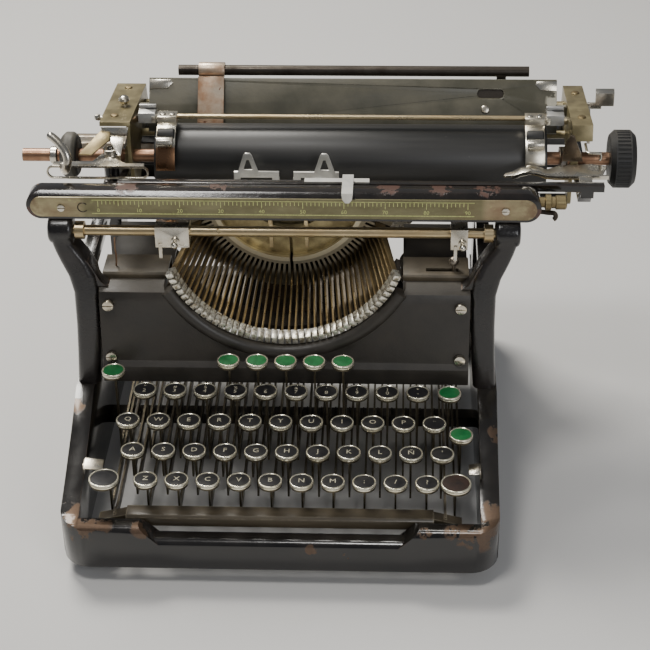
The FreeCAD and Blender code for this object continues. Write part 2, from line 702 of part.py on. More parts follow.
def space_bar():
    """Long bar with a rolled front edge and tapered ends, on two arms that reach the fulcrum."""
    half, tip, top, front, back, skin = 94.0, 110.5, 41.4, 13.8, 23.4, 1.4
    section = [(front, top - 7.5), (front, top - 1.5), (front + 1.5, top), (back, top + 0.6),
               (back, top + 0.6 - skin), (front + 2.2, top - skin), (front + skin, top - 2.2),
               (front + skin, top - 7.5)]
    pieces = [outline(section, "yz", -half, 2 * half)]
    arm_x, arm_thick = 101.3, 1.4
    pivot_y, pivot_z, deep = float(D.fulcrum_back), float(D.fulcrum_high), float(D.lever_deep)
    for side in (-1, 1):
        end_line = [(half - 0.5, top - 0.2), (half - 0.5, top - 7.4), (tip, top - 9.6),
                    (tip + 0.8, top - 4.6), (half + 5, top - 1.6)]
        tab = outline([(side * x, z) for x, z in end_line], "xz", front + 1.4, back - front - 2.0)
        arm = outline([(back - 6, top - 0.5), (back - 1, top - 0.5), (back + 4, top - 3), (40, 38.5),
                       (pivot_y - 8, pivot_z + deep / 2), (pivot_y + 6, pivot_z + deep / 2),
                       (pivot_y + 6, pivot_z - deep / 2), (pivot_y - 8, pivot_z - deep / 2), (40, 31.5),
                       (back - 6, 33)], "yz", side * arm_x - arm_thick / 2, arm_thick)
        bore = Part.makeCylinder(float(D.fulcrum_radius + D.running_gap), 4,
                                 V(side * arm_x - 2, pivot_y, pivot_z), V(1, 0, 0))
        pieces += [tab, arm.cut(bore)]
    return pieces[0].fuse(pieces[1:]).removeSplitter()


node("space_bar", solid(space_bar()))
inner_half = D.base_half - D.wall_thick
node("fulcrum_shaft", group(
    bar("x", D.fulcrum_radius, -inner_half, inner_half * 2, (D.fulcrum_back, D.fulcrum_high)),
    fuse(
        bar("x", TAB_FULCRUM[2], -46, 96, TAB_FULCRUM[:2]),
        block((-48, -46), (200, 210), (56, 68)),
        block((50, 52), (200, 210), (56, 68)),
    ),
))


def lever_guide():
    """Comb bar across the base, under the levers, with a row of upright teeth between them."""
    half = float(inner_half)
    base = Part.makeBox(2 * half, 10, 8, V(-half, 146, 16))
    teeth = []
    for i in range(-11, 12):
        middle = i * float(D.key_pitch) / 2 + 0.9
        teeth.append(Part.makeBox(1.0, 3, 3.4, V(middle - 0.5, 149, 24)))
    return base.fuse(teeth).removeSplitter()


node("lever_guide", solid(lever_guide()))

# ---------------------------------------------------------------- ribbon works

SPOOL_BACK, SPINDLE_RADIUS = 168.0, 3.0


def ribbon_cover(side):
    """Stepped lid over a ribbon spool; the right one has a slot for the ribbon selector."""
    low, high = (-115.0, -74.0) if side < 0 else (74.0, 115.0)
    step = [(119.6, 147.05), (119.6, 149.6), (120.8, 151.0), (142.4, 151.0), (144.0, 149.4), (144.0, 141.0),
            (203.5, 141.0), (203.5, 132.0), (201.9, 132.0), (201.9, 139.4), (142.4, 139.4), (142.4, 149.4),
            (121.2, 149.4), (121.2, 147.05)]
    whole = outline(step, "yz", low, high - low)
    if side > 0:
        whole = whole.cut(Part.makeBox(20.5, 4.0, 20, V(88.2, 124.8, 140)))
    middle = side * float(D.spool_half)
    spindle = Part.makeCylinder(SPINDLE_RADIUS, 20.4, V(middle, SPOOL_BACK, 119.6))
    flange = Part.makeCylinder(6, 2.2, V(middle, SPOOL_BACK, 119.6))
    return whole.fuse([spindle, flange]).removeSplitter()


node("ribbon_covers", solid(Part.makeCompound([ribbon_cover(-1), ribbon_cover(1)])))


def spool(middle):
    bore, rim, core = SPINDLE_RADIUS + D.running_gap, D.spool_radius, 7
    profile = [(bore, 0), (rim, 0), (rim, 1.2), (core, 1.2), (core, 9.8), (rim, 9.8), (rim, 11), (bore, 11)]
    return turned("spool", profile, "z", middle, SPOOL_BACK, 122)


node("ribbon_spool_left", spool(-D.spool_half))
node("ribbon_spool_right", spool(D.spool_half))


SELECTOR = (105.5, 126.8, 106.0)
PIN_RADIUS = 1.8


def ribbon_selector():
    """Small ball-headed lever that stands in the slot of the right cover, free on its pin."""
    x, y, z = SELECTOR
    hub = cut(bar("y", 4.0, y - 1.5, 3, (x, z)), bar("y", PIN_RADIUS + D.running_gap, y - 2, 4, (x, z)))
    return fuse(bar("z", 1.2, z + 3, 48, (x, y)), ball(3.2, x, y, 157.2), hub)


node("ribbon_selector", ribbon_selector())

# ---------------------------------------------------------------- rear frame, rear rail, bell, drum

BELL, DRUM = (62, 112), (-80, 150)
STUD_RADIUS = 3.5


def rear_frame():
    """Rear casting: two uprights and a cross beam that carry the rear rail of the carriage."""
    half = float(D.base_half) - 2
    top, floor = 168.0, float(D.side_back)
    pieces = [Part.makeBox(2 * half, 9, 24, V(-half, 262, top - 24))]
    for side in (-1, 1):
        start = side * half if side < 0 else half - 9
        pieces.append(Part.makeBox(9, 24, top - floor, V(start, 247, floor)))
        arm = outline([(127, 146), (127, 158), (248, 160), (248, 148)], "yz", side * 125 - 4, 8)
        pieces.append(arm)
    x, y, z = SELECTOR
    pieces.append(Part.makeBox(1.6, 5.4, 150 - z + 5, V(119.4, y + 0.6, z - 5)))
    pieces.append(Part.makeBox(121 - x + 4, 1.6, 10, V(x - 4, y + 4.4, z - 5)))
    pieces.append(Part.makeCylinder(PIN_RADIUS, 8.4, V(x, y - 2.4, z), V(0, 1, 0)))
    x, z = DRUM
    pieces.append(Part.makeCylinder(STUD_RADIUS, 25.5, V(x, 270, z), V(0, 1, 0)))
    return pieces[0].fuse(pieces[1:]).removeSplitter()


node("rear_frame", solid(rear_frame()))


def rear_rail():
    """Grooved rail for the carriage balls, as long as the carriage's travel needs."""
    section = [(240, 168.2), (240, 181), (245, 181), (247.5, 178), (250, 181), (255, 181), (255, 168.2)]
    return outline(section, "yz", -150, 300)


node("rear_rail", solid(rear_rail()))
node("bell", group(
    turned("gong", [(0, 0), (4, 0), (D.bell_radius, 9), (D.bell_radius, 11), (D.bell_radius - 1.6, 11),
                    (3, 1.8), (0, 1.8)], "y", BELL[0], 276, BELL[1]),
    fuse(bar("y", 3, 268, 8, BELL), block((57, 67), (264, 269), (108, 144))),
    fuse(block((60.8, 63.2), (271.2, 272.6), (140, 150)), block((60.8, 63.2), (271.2, 284), (148.6, 150)),
         block((60.8, 63.2), (282.6, 284), (139, 150)), ball(3.2, BELL[0], 283.3, 139.4)),
))
drum_bore = STUD_RADIUS + D.running_gap
node("spring_drum", turned("drum", [
    (drum_bore, 0.3), (8, 0.3), (8, 6), (D.drum_radius, 6), (D.drum_radius, 9), (D.drum_radius - 2, 9),
    (D.drum_radius - 2, 19), (D.drum_radius, 19), (D.drum_radius, 22), (8, 22), (8, 24.6), (drum_bore, 24.6),
], "y", DRUM[0], 271, DRUM[1]))

# ---------------------------------------------------------------- carriage

MID = float(D.carriage_mid)
LEVER_PIVOT = (-112.0, 167.5)


def carriage_frame():
    """Moving base of the carriage: front bar, rear bar with its bearing groove, two low side arms."""
    front = Part.makeBox(300, 5, 4.4, V(MID - 143, 134.6, 202.6))
    rear_section = [(238, 183), (238, 194), (258, 194), (258, 183), (250, 183), (247.5, 186), (245, 183)]
    rear = outline(rear_section, "yz", MID - 150, 300)
    arms = []
    dipped = [(134.6, 203.0), (134.6, 198.4), (140.5, 198.4), (148, 188.6), (243, 188.6), (243, 192.6),
              (150.4, 192.6), (143, 203.0)]
    for side in (-1, 1):
        arms.append(outline(dipped, "yz", MID + side * 146.6 - 4, 8))
    lever_x, lever_y = LEVER_PIVOT
    post = Part.makeCylinder(4.5, 16.2, V(lever_x, lever_y, 191.6))
    foot = Part.makeBox(8, 9, 4, V(lever_x - 4, lever_y - 4.5, 188.6))
    pin = Part.makeCylinder(PIN_RADIUS, 7.2, V(lever_x, lever_y, 207.4))
    return front.fuse([rear, post, foot, pin] + arms).removeSplitter()


node("carriage_frame", solid(carriage_frame()))


def escapement_rack():
    """Toothed rack under the rear bar, one tooth to each letter space."""
    pitch, teeth = 2.54, 88
    start, back = MID - pitch * teeth / 2, 258.3
    points = [(start, 191)]
    for i in range(teeth):
        points += [(start + pitch * i, 186.5), (start + pitch * (i + 0.3), 184.3),
                   (start + pitch * (i + 0.6), 184.3), (start + pitch * (i + 0.9), 186.5)]
    points += [(start + pitch * teeth, 186.5), (start + pitch * teeth, 191)]
    return outline(points, "xz", back, 3)


node("escapement_rack", solid(escapement_rack()))


def carriage_guard():
    """Right-hand front plate: a bright strip with a long wavy tip to the left, on a short bridge."""
    left, right, front, thick = MID + 96, MID + 160.5, 147.4, 1.4
    crest = [(left, 206.4), (left + 5, 207.2), (left + 11, 209.8), (left + 16, 211.0), (left + 20, 210.4),
             (left + 26, 208.0), (left + 32, 207.4), (right, 208.0)]
    under = [(x, z - thick) for x, z in crest]
    wave = outline(crest + under[::-1], "xz", front - 2, 20)
    plan = outline([(left, front + 1), (left + 3, front), (right - 4, front), (right, front + 12),
                    (right - 10, front + 15), (left + 34, front + 13), (left + 27, 154.8), (left + 10, 154),
                    (left + 1, front + 4)], "xy", 200, 20)
    lip = outline(crest[1:] + [(x, z - 2.8) for x, z in crest[:0:-1]], "xz", front - 1.2, 1.4)
    bridge = Part.makeBox(8, 10.4, 1.2, V(MID + 142, 139.6, 205.8))
    riser = Part.makeBox(8, 2.4, 3.0, V(MID + 142, 148.0, 204.6))
    return wave.common(plan).fuse([lip, bridge, riser]).removeSplitter()


node("carriage_guard", solid(carriage_guard()))


def carriage_pointer():
    """Bright tongue at the middle of the carriage: it reaches over the rail and ends above the scale."""
    tip = outline([(MID - 3.4, 212.8), (MID + 3.4, 212.8), (MID + 3.0, 208.6), (MID + 1.2, 206.2),
                   (MID - 1.2, 206.2), (MID - 3.0, 208.6)], "xz", 111.2, 1.2)
    arm = Part.makeBox(6.8, 23.5, 1.4, V(MID - 3.4, 111.2, 211.4))
    drop = Part.makeBox(6.8, 1.6, 5.8, V(MID - 3.4, 134.6, 207.0))
    foot = Part.makeBox(40, 5, 1.4, V(MID - 27, 134.6, 207.0))
    return tip.fuse([arm, drop, foot]).removeSplitter()


node("carriage_pointer", solid(carriage_pointer()))

# ---------------------------------------------------------------- platen frame, which lifts on shift

def end_bracket(side):
    """Side plate of the platen frame with a turned top flange and a bearing for the platen shaft.

    The left flange is broader, and its front lip is shallower than the right one.
    """
    inner = float(D.bracket_inner)
    flange = float(D.bracket_outer) - inner + (0 if side > 0 else 6.5)
    flange_x = MID + inner if side > 0 else MID - inner - flange
    web_x = MID + inner if side > 0 else MID - inner - 2.5
    profile = [(177, 194), (175, 212), (178, 225), (256, 216), (259, 206), (252, 197), (215, 194)]
    web = outline(profile, "yz", web_x, 2.5)
    top = outline([(178, 225), (178, 227), (256, 218), (256, 216)], "yz", flange_x, flange)
    drop = 217.0 if side > 0 else 224.4
    lean = (227 - drop) * 0.3
    nose = outline([(178 - lean, drop), (178, 227), (180, 226), (180.4 - lean, drop)], "yz", flange_x, flange)
    back, high = float(D.platen_back), float(D.platen_high)
    hanger = outline([(181, 196), (181, 170), (184, 167.4), (194, 167.4), (213, 179), (216, 196)],
                     "yz", web_x, 2.5)
    hub = Part.makeCylinder(6.6, 5, V(web_x - (2.5 if side < 0 else 0), back, high), V(1, 0, 0))
    bore = Part.makeCylinder(float(D.shaft_radius + D.running_gap), 40, V(web_x - 20, back, high), V(1, 0, 0))
    return web.fuse([top, nose, hanger, hub]).cut(bore).removeSplitter()


def frame_ties():
    """Cross rods and the trough under the platen that hold the two side plates together."""
    inner = float(D.bracket_inner)
    rods = []
    for y, z, radius in ((246.0, 208.0, 3.0), (222.0, 198.6, 2.6)):
        rods.append(Part.makeCylinder(radius, 2 * inner, V(MID - inner, y, z), V(1, 0, 0)))
    return rods


bracket_pieces = [end_bracket(-1), end_bracket(1)] + frame_ties()
node("end_brackets", solid(bracket_pieces[0].fuse(bracket_pieces[1:]).removeSplitter()))


def table_line(offset):
    """Points of the paper table's section, offset square to it: straight back, curved foot."""
    foot, head = V(0, 211.5, 204.0), V(0, 230.4, 233.8)
    along = (head - foot).normalize()
    across = V(0, -along.z, along.y)
    return foot + across * offset, head + across * offset


def paper_table():
    """Sheet-metal paper table with a slot and two cheeks that reach the side plates."""
    thick = float(D.table_thick)
    low_front, high_front = table_line(thick)
    low_back, high_back = table_line(0)
    points = [(p.y, p.z) for p in (low_back, high_back, high_front, low_front)]
    sheet_metal = outline(points, "yz", MID - 133, 266)
    slot_radius, slot_x, slot_z = 2.6, MID + 84.0, 226.4
    slot = Part.makeBox(12, 40, 2 * slot_radius, V(slot_x, 205, slot_z - slot_radius))
    for end_x in (slot_x, slot_x + 12):
        slot = slot.fuse(Part.makeCylinder(slot_radius, 40, V(end_x, 205, slot_z), V(0, 1, 0)))
    cheeks = []
    for side in (-1, 1):
        start = MID + side * 133 - (0 if side > 0 else 6.4)
        cheeks.append(Part.makeBox(6.4, 4, 7, V(start, 218.5, 213)))
    return sheet_metal.cut(slot).fuse(cheeks).removeSplitter()


node("paper_table", solid(paper_table()))
TABLE_ROD = (235.0, 237.4)
node("table_rod", fuse(
    bar("x", D.top_rod_radius, D.carriage_mid - 114, 229, TABLE_ROD),
    block((D.carriage_mid - 100, D.carriage_mid - 94), (231.2, 235.0), (231.4, 236)),
    block((D.carriage_mid + 94, D.carriage_mid + 100), (231.2, 235.0), (231.4, 236)),
))


def paper_guide():
    """Edge guide: a broad strip in front of the table, rolled over the rod so that it slides along it."""
    wide, start, gap = 17.0, MID - 100.5, 0.4
    y, z = TABLE_ROD
    radius = float(D.top_rod_radius)
    hook = Part.makeCylinder(radius + gap + 1.4, wide, V(start, y, z), V(1, 0, 0))
    bore = Part.makeCylinder(radius + gap, wide + 2, V(start - 1, y, z), V(1, 0, 0))
    below = Part.makeBox(wide + 2, 20, 20, V(start - 1, y - 4.2, z - 20.5))
    thick = float(D.table_thick)
    low, high = table_line(thick + 0.5)
    low_out, high_out = table_line(thick + 1.9)
    strip = outline([(low.y, low.z + 6), (high.y - 0.6, high.z), (high_out.y - 0.6, high_out.z + 0.9),
                     (low_out.y, low_out.z + 5)], "yz", start, wide)
    return hook.cut(bore).cut(below).fuse(strip).cut(bore).removeSplitter()


node("paper_guide", solid(paper_guide()))

# platen and its shaft
PLATEN_AXIS = (D.platen_back, D.platen_high)
platen_left, shaft_left = D.carriage_mid - D.platen_half, D.carriage_mid - 211.5
knob_start = D.carriage_mid + 164.6
node("platen", cut(
    bar("x", D.platen_radius, platen_left, D.platen_half * 2, PLATEN_AXIS),
    bar("x", D.shaft_radius, platen_left - 1, D.platen_half * 2 + 2, PLATEN_AXIS),
))
node("platen_shaft", bar("x", D.shaft_radius, shaft_left, knob_start - shaft_left, PLATEN_AXIS))


def knob(start, radius, thick, grooves):
    """Knurled knob: a turned disc with grooves cut round its rim."""
    profile = [(0, 0), (radius - 3, 0), (radius, 3), (radius, thick - 3), (radius - 3, thick), (0, thick)]
    if grooves == 0:
        profile = [(D.shaft_radius, 0)] + profile[1:-1] + [(D.shaft_radius, thick)]
        return turned("knob", profile, "x", start, D.platen_back, D.platen_high)
    body = turned("knob", profile, "x", start, D.platen_back, D.platen_high)
    cuts = []
    for i in range(grooves):
        turn = 2 * math.pi * i / grooves
        y = D.platen_back + radius * math.cos(turn)
        z = D.platen_high + radius * math.sin(turn)
        cuts.append(bar("x", 0.7, start + 4, thick - 8, (y, z)))
    return cut(body, group(*cuts))


node("right_knob", knob(knob_start, D.knob_radius, D.knob_thick, 40))
node("left_knob", knob(D.carriage_mid - 186, D.knob_radius - 3.5, rule(11), 0))


def feed_roller(turn):
    """Rubber feed roller below the platen, clear of it by the paper's gap."""
    reach = D.platen_radius + D.feed_radius + D.feed_gap
    y = D.platen_back + reach * math.cos(math.radians(turn))
    z = D.platen_high + reach * math.sin(math.radians(turn))
    axle = bar("x", 2.0, D.carriage_mid - D.bracket_inner + 0.3, D.bracket_inner * 2 - 0.6, (y, z))
    return fuse(bar("x", D.feed_radius, D.carriage_mid - 118, 236, (y, z)), axle)


FEED_TURNS = {"front": -84.0, "rear": -35.0}
for place, turn in FEED_TURNS.items():
    node(f"feed_roller_{place}", feed_roller(turn))

# bail
node("bail_rod", bar("x", D.bail_radius, D.carriage_mid - 110, 220, (D.bail_back, D.bail_high)))


def bail_finger(side):
    """End of the bail: a notched block on the rod, a curved plate round the platen and a pivot arm."""
    back, high = float(D.platen_back), float(D.platen_high)
    wide, middle = 12.0, MID + side * 116
    start = middle - wide / 2
    head = Part.makeBox(wide, 9, 5.2, V(start, 180, 224.6))
    outer = Part.makeCylinder(26.2, wide, V(start, back, high), V(1, 0, 0))
    inner = Part.makeCylinder(24.8, wide + 2, V(start - 1, back, high), V(1, 0, 0))
    lowest = high + (7.5 if side > 0 else 2.6)
    above = high + 30
    keep = outline([(back - 40, lowest), (back - 40, high + 14), (back - 16, above), (back + 6, above),
                    (back, lowest)], "yz", start, wide)
    strap = outer.cut(inner).common(keep)
    roller = Part.makeCylinder(3.4, wide - 2, V(start + 1, back - 21.6, high + 20.3), V(1, 0, 0))
    arm_x = MID + side * 124.5 - 1.2
    arm = outline([(180, 225.6), (180, 229.8), (192, 229.8), (212, 217), (209, 211), (200, 217),
                   (190, 225.6)], "yz", arm_x, 2.4)
    link_start = min(middle, arm_x + 1.2)
    link = Part.makeBox(abs(arm_x + 1.2 - middle), 6, 4.2, V(link_start, 182, 225.6))
    pin_start = MID + side * 124.5 if side > 0 else MID - float(D.bracket_inner) + 0.3
    pin = Part.makeCylinder(2.0, float(D.bracket_inner) - 124.8, V(pin_start, 208.5, 214.5), V(1, 0, 0))
    rod = Part.makeCylinder(float(D.bail_radius), 30, V(middle - 15, float(D.bail_back), float(D.bail_high)),
                            V(1, 0, 0))
    piece = head.fuse([strap, roller, arm, link, pin])
    return piece.cut(rod).removeSplitter()


node("bail_fingers", solid(Part.makeCompound([bail_finger(-1), bail_finger(1)])))

# ---------------------------------------------------------------- carriage levers

def return_lever():
    """Line-space and return lever: a curved horn on a flat arm, with a long loop along its front edge."""
    left, right, top, front, thick = -150.5, -86.0, 209.6, 151.0, 1.4
    arm = outline([(left + 4, front), (left + 4, front + 6), (-122, front + 7), (-117.5, 169), (-106.5, 169),
                   (-104, front + 7), (-101, front + 4.2), (right - 3, front + 4.2), (right - 3, front)],
                  "xy", top - thick, thick)
    radius, middle = 4.6, (left + right) / 2
    reach = (right - left) / 2 - radius

    def track(round_end):
        ends = [Part.makeCylinder(round_end, thick, V(middle + side * reach, front, top - radius), V(0, 1, 0))
                for side in (-1, 1)]
        low_corner = V(middle - reach, front, top - radius - round_end)
        return Part.makeBox(2 * reach, thick, 2 * round_end, low_corner).fuse(ends)

    loop = track(radius).cut(track(radius - 1.2))
    points = [V(-140, 153.5, 208.6), V(-137.4, 145, 209.6), V(-135.2, 140, 214.0), V(-134.0, 140, 220.0),
              V(-137.4, 143, 227.0), V(-144.4, 146.6, 232.4)]
    path = Part.BSplineCurve()
    path.interpolate(points)
    horn_radius = 2.6
    section = Part.Circle(points[0], path.tangent(path.FirstParameter)[0], horn_radius)
    horn = Part.Wire([path.toShape()]).makePipeShell([Part.Wire([section.toShape()])], True, True)
    tip = Part.makeSphere(horn_radius, points[-1])
    pivot = Part.makeCylinder(4.5, 5.6, V(*LEVER_PIVOT, top - thick))
    bore = Part.makeCylinder(PIN_RADIUS + float(D.running_gap), 12, V(*LEVER_PIVOT, top - 4))
    return arm.fuse([loop, horn, tip, pivot]).cut(bore).removeSplitter()


node("return_lever", solid(return_lever()))


def carriage_release():
    """Finger lever outside the right side plate, with a broad bent tab at the top."""
    x, wall = MID + float(D.bracket_outer) + 1.0, MID + float(D.bracket_inner) + 2.8
    strap = outline([(214, 196), (214, 206), (226, 217), (229, 217), (219, 205), (219, 196)], "yz", x, 1.8)
    knee = Part.makeBox(9, 1.8, 4, V(x, 226.6, 215))
    tab = outline([(226.6, 217), (226.6, 226), (230, 228), (231.4, 226.6), (228.4, 225), (228.4, 217)],
                  "yz", x + 5, 12)
    pin = Part.makeCylinder(3.0, x + 2.6 - wall, V(wall, 216.5, 200), V(1, 0, 0))
    return strap.fuse([knee, tab, pin]).removeSplitter()


node("carriage_release", solid(carriage_release()))


def paper_release():
    """Dark thumb lever free on the platen shaft: a broad horn-shaped blade that faces the front."""
    x, thick = MID + float(D.bracket_inner) - 6.5, 5.0
    back, high = float(D.platen_back), float(D.platen_high)
    front, low = back - 19.0, high + 7.5
    blade = outline([(172.6, low), (172.8, low + 4.5), (174.4, low + 12.6), (177.4, low + 17.5),
                     (179.6, low + 17.2), (181.2, low + 12.7), (184.6, low + 4.5), (185.6, low)],
                    "xz", front, 2.2)
    arm = outline([(front + 1, low), (front + 1, low + 6), (front + 6, low + 5), (back + 3, high + 6.5),
                   (back - 6, high - 3)], "yz", x + 0.5, 3.0)
    ring = Part.makeCylinder(7.5, thick, V(x, back, high), V(1, 0, 0))
    bore = Part.makeCylinder(float(D.shaft_radius) + 1.4, thick + 2, V(x - 1, back, high), V(1, 0, 0))
    return ring.fuse([blade, arm]).cut(bore).removeSplitter()


node("paper_release", solid(paper_release()))

# ---------------------------------------------------------------- check and write

doc.recompute()
os.makedirs("parts", exist_ok=True)
for obj in doc.Objects:
    if "Invalid" in obj.State or "Error" in obj.State:
        raise RuntimeError(f"{obj.Label} did not build: {obj.State}")
for name, obj in NODES.items():
    if obj.Shape.isNull() or not obj.Shape.isValid() or not obj.Shape.Solids:
        raise RuntimeError(f"{name} is not a valid solid")
low, high = V(1e9, 1e9, 1e9), V(-1e9, -1e9, -1e9)
for name, obj in NODES.items():
    obj.Shape.exportStep(f"parts/{name}.step")
    box = obj.Shape.BoundBox
    low = V(min(low.x, box.XMin), min(low.y, box.YMin), min(low.z, box.ZMin))
    high = V(max(high.x, box.XMax), max(high.y, box.YMax), max(high.z, box.ZMax))
print(f"{len(NODES)} sub-parts, box {low} to {high}")
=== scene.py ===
"""The looks of a desk typewriter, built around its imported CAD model.  Metres, in the CAD's own frame."""
import math

import bmesh
import bpy
from mathutils import Matrix, Vector


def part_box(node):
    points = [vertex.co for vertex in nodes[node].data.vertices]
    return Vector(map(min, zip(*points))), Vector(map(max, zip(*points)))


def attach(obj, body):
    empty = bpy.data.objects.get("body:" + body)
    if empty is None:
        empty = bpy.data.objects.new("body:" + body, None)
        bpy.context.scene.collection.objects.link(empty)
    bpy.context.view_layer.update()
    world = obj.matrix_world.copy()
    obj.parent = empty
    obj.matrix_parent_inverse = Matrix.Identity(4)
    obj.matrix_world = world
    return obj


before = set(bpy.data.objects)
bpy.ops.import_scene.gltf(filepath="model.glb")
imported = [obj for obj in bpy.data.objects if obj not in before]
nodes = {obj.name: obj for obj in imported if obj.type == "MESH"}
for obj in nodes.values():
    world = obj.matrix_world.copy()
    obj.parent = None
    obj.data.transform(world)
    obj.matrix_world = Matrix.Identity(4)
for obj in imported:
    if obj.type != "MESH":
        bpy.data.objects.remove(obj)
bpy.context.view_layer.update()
MM = 0.001
DUST = (0.30, 0.26, 0.20)

# ------------------------------------------------------------------ node-tree helpers


class Tree:
    """Short calls that add shader nodes to one material and link them."""

    def __init__(self, name):
        self.material = bpy.data.materials.new(name)
        self.material.use_nodes = True
        self.tree = self.material.node_tree
        self.tree.nodes.clear()
        self.out = self.add("ShaderNodeOutputMaterial")
        self.shader = self.add("ShaderNodeBsdfPrincipled")
        self.link(self.shader.outputs[0], self.out.inputs["Surface"])
        self.place = self.add("ShaderNodeTexCoord").outputs["Object"]

    def add(self, kind, **settings):
        node = self.tree.nodes.new(kind)
        for key, value in settings.items():
            setattr(node, key, value)
        return node

    def link(self, source, target):
        self.tree.links.new(source, target)

    def feed(self, socket, value):
        """Links a node's output, or sets a plain number or colour."""
        if isinstance(value, bpy.types.NodeSocket):
            self.link(value, socket)
        elif hasattr(value, "__len__") and len(value) == 3 and len(socket.default_value) == 4:
            socket.default_value = (*value, 1.0)
        else:
            socket.default_value = value

    def stretched(self, x=1.0, y=1.0, z=1.0):
        node = self.add("ShaderNodeMapping")
        self.link(self.place, node.inputs["Vector"])
        node.inputs["Scale"].default_value = (x, y, z)
        return node.outputs["Vector"]

    def noise(self, scale, detail=4.0, roughness=0.55, place=None):
        node = self.add("ShaderNodeTexNoise")
        self.link(place or self.place, node.inputs["Vector"])
        node.inputs["Scale"].default_value = scale
        node.inputs["Detail"].default_value = detail
        node.inputs["Roughness"].default_value = roughness
        return node.outputs["Fac"]

    def ramp(self, value, low, high, out_low=0.0, out_high=1.0):
        node = self.add("ShaderNodeMapRange")
        self.feed(node.inputs["Value"], value)
        for socket, number in zip(("From Min", "From Max", "To Min", "To Max"), (low, high, out_low, out_high)):
            self.feed(node.inputs[socket], number)
        return node.outputs["Result"]

    def math(self, operation, one, other=0.0):
        node = self.add("ShaderNodeMath", operation=operation)
        self.feed(node.inputs[0], one)
        self.feed(node.inputs[1], other)
        return node.outputs["Value"]

    def blend(self, share, one, other):
        node = self.add("ShaderNodeMix", data_type="RGBA")
        self.feed(node.inputs["Factor"], share)
        self.feed(node.inputs[6], one)
        self.feed(node.inputs[7], other)
        return node.outputs[2]

    def edges(self, radius):
        """1 on convex and concave edges, 0 on flats: worn edges, and on the space bar partly a painted highlight."""
        bevel = self.add("ShaderNodeBevel", samples=4)
        bevel.inputs["Radius"].default_value = radius
        surface = self.add("ShaderNodeNewGeometry")
        dot = self.add("ShaderNodeVectorMath", operation="DOT_PRODUCT")
        self.link(bevel.outputs["Normal"], dot.inputs[0])
        self.link(surface.outputs["Normal"], dot.inputs[1])
        return self.ramp(dot.outputs["Value"], 0.985, 0.88)

    def facing_up(self):
        surface = self.add("ShaderNodeNewGeometry")
        parts = self.add("ShaderNodeSeparateXYZ")
        self.link(surface.outputs["Normal"], parts.inputs[0])
        return self.ramp(parts.outputs["Z"], 0.55, 0.95)

    def away(self, centre):
        """Distance from a place."""
        gap = self.add("ShaderNodeVectorMath", operation="DISTANCE")
        self.link(self.place, gap.inputs[0])
        gap.inputs[1].default_value = centre
        return gap.outputs["Value"]

    def near(self, centre, radius):
        """1 close to a place, falling to 0 at a distance."""
        return self.ramp(self.away(centre), radius, 0.3 * radius)

    def axis(self, letter):
        parts = self.add("ShaderNodeSeparateXYZ")
        self.link(self.place, parts.inputs[0])
        return parts.outputs[letter]

    def bump(self, height, distance):
        node = self.add("ShaderNodeBump")
        self.feed(node.inputs["Height"], height)
        node.inputs["Distance"].default_value = distance
        node.inputs["Strength"].default_value = 1.0
        return node.outputs["Normal"]


def aged(name, base, second, worn=None, metal=0.0, rough=(0.3, 0.5), grain=60.0, edge=0.9 * MM, edge_share=0.8,
         chips=0.72, dust=0.15, bumps=0.06 * MM, coat=0.0, spots=(), worn_metal=None, streaks=None, tint=None):
    """A finish with mottled colour, worn edges, chips, dust on top faces, uneven gloss and fine bumps.

    tint is (a function of the tree that gives a mask, the colour under the mask); the ribbon covers and the left
    knob use it for painted shade.
    """
    t = Tree(name)
    place = t.stretched(*streaks) if streaks else t.place
    medium = t.noise(grain, 6.0, 0.6, place)
    broad = t.noise(grain * 0.22, 4.0)
    fine = t.noise(grain * 14, 3.0, 0.6, place)
    colour = t.blend(t.ramp(medium, 0.38, 0.66), base, second)
    if tint is not None:
        mask, other = tint
        colour = t.blend(mask(t), colour, t.blend(medium, other, [0.6 * c for c in other]))
    share = 0.0
    if worn is not None:
        ragged = t.ramp(t.noise(grain * 2.2, 7.0, 0.65), 0.42, 0.56)
        share = t.math("MULTIPLY", t.edges(edge), t.math("MULTIPLY", ragged, edge_share))
        flaked = t.ramp(t.noise(grain * 1.3, 8.0, 0.68), chips, chips + 0.02)
        share = t.math("MAXIMUM", share, flaked)
        for centre, radius in spots:
            patch = t.math("MULTIPLY", t.near(centre, radius), ragged)
            share = t.math("MAXIMUM", share, t.ramp(patch, 0.25, 0.45))
        colour = t.blend(share, colour, t.blend(fine, worn, [0.55 * c for c in worn]))
    settled = t.math("MULTIPLY", t.facing_up(), t.ramp(broad, 0.35, 0.7, 0.0, dust))
    colour = t.blend(settled, colour, DUST)
    t.feed(t.shader.inputs["Base Color"], colour)
    gloss = t.ramp(medium, 0.3, 0.7, *rough)
    gloss = t.math("ADD", gloss, t.math("MULTIPLY", settled, 0.6))
    if worn is not None:
        gloss = t.ramp(share, 0.0, 1.0, gloss, 0.48)
        if worn_metal is not None:
            t.feed(t.shader.inputs["Metallic"], t.ramp(share, 0.0, 1.0, metal, worn_metal))
    if worn is None or worn_metal is None:
        t.shader.inputs["Metallic"].default_value = metal
    t.feed(t.shader.inputs["Roughness"], gloss)
    t.shader.inputs["Coat Weight"].default_value = coat
    t.shader.inputs["Coat Roughness"].default_value = 0.12
    height = t.math("ADD", fine, t.math("MULTIPLY", medium, 1.6))
    if worn is not None:
        height = t.math("SUBTRACT", height, t.math("MULTIPLY", share, 0.8))
    t.feed(t.shader.inputs["Normal"], t.bump(height, bumps))
    return t


# ------------------------------------------------------------------ materials

BROWN_METAL = (0.14, 0.088, 0.056)


def spot(x, y, z):
    """A place in millimetres from the middle of the casting's front edge, at table height."""
    low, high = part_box("base_casting")
    return Vector(((low.x + high.x) / 2 + x * MM, low.y + y * MM, z * MM))


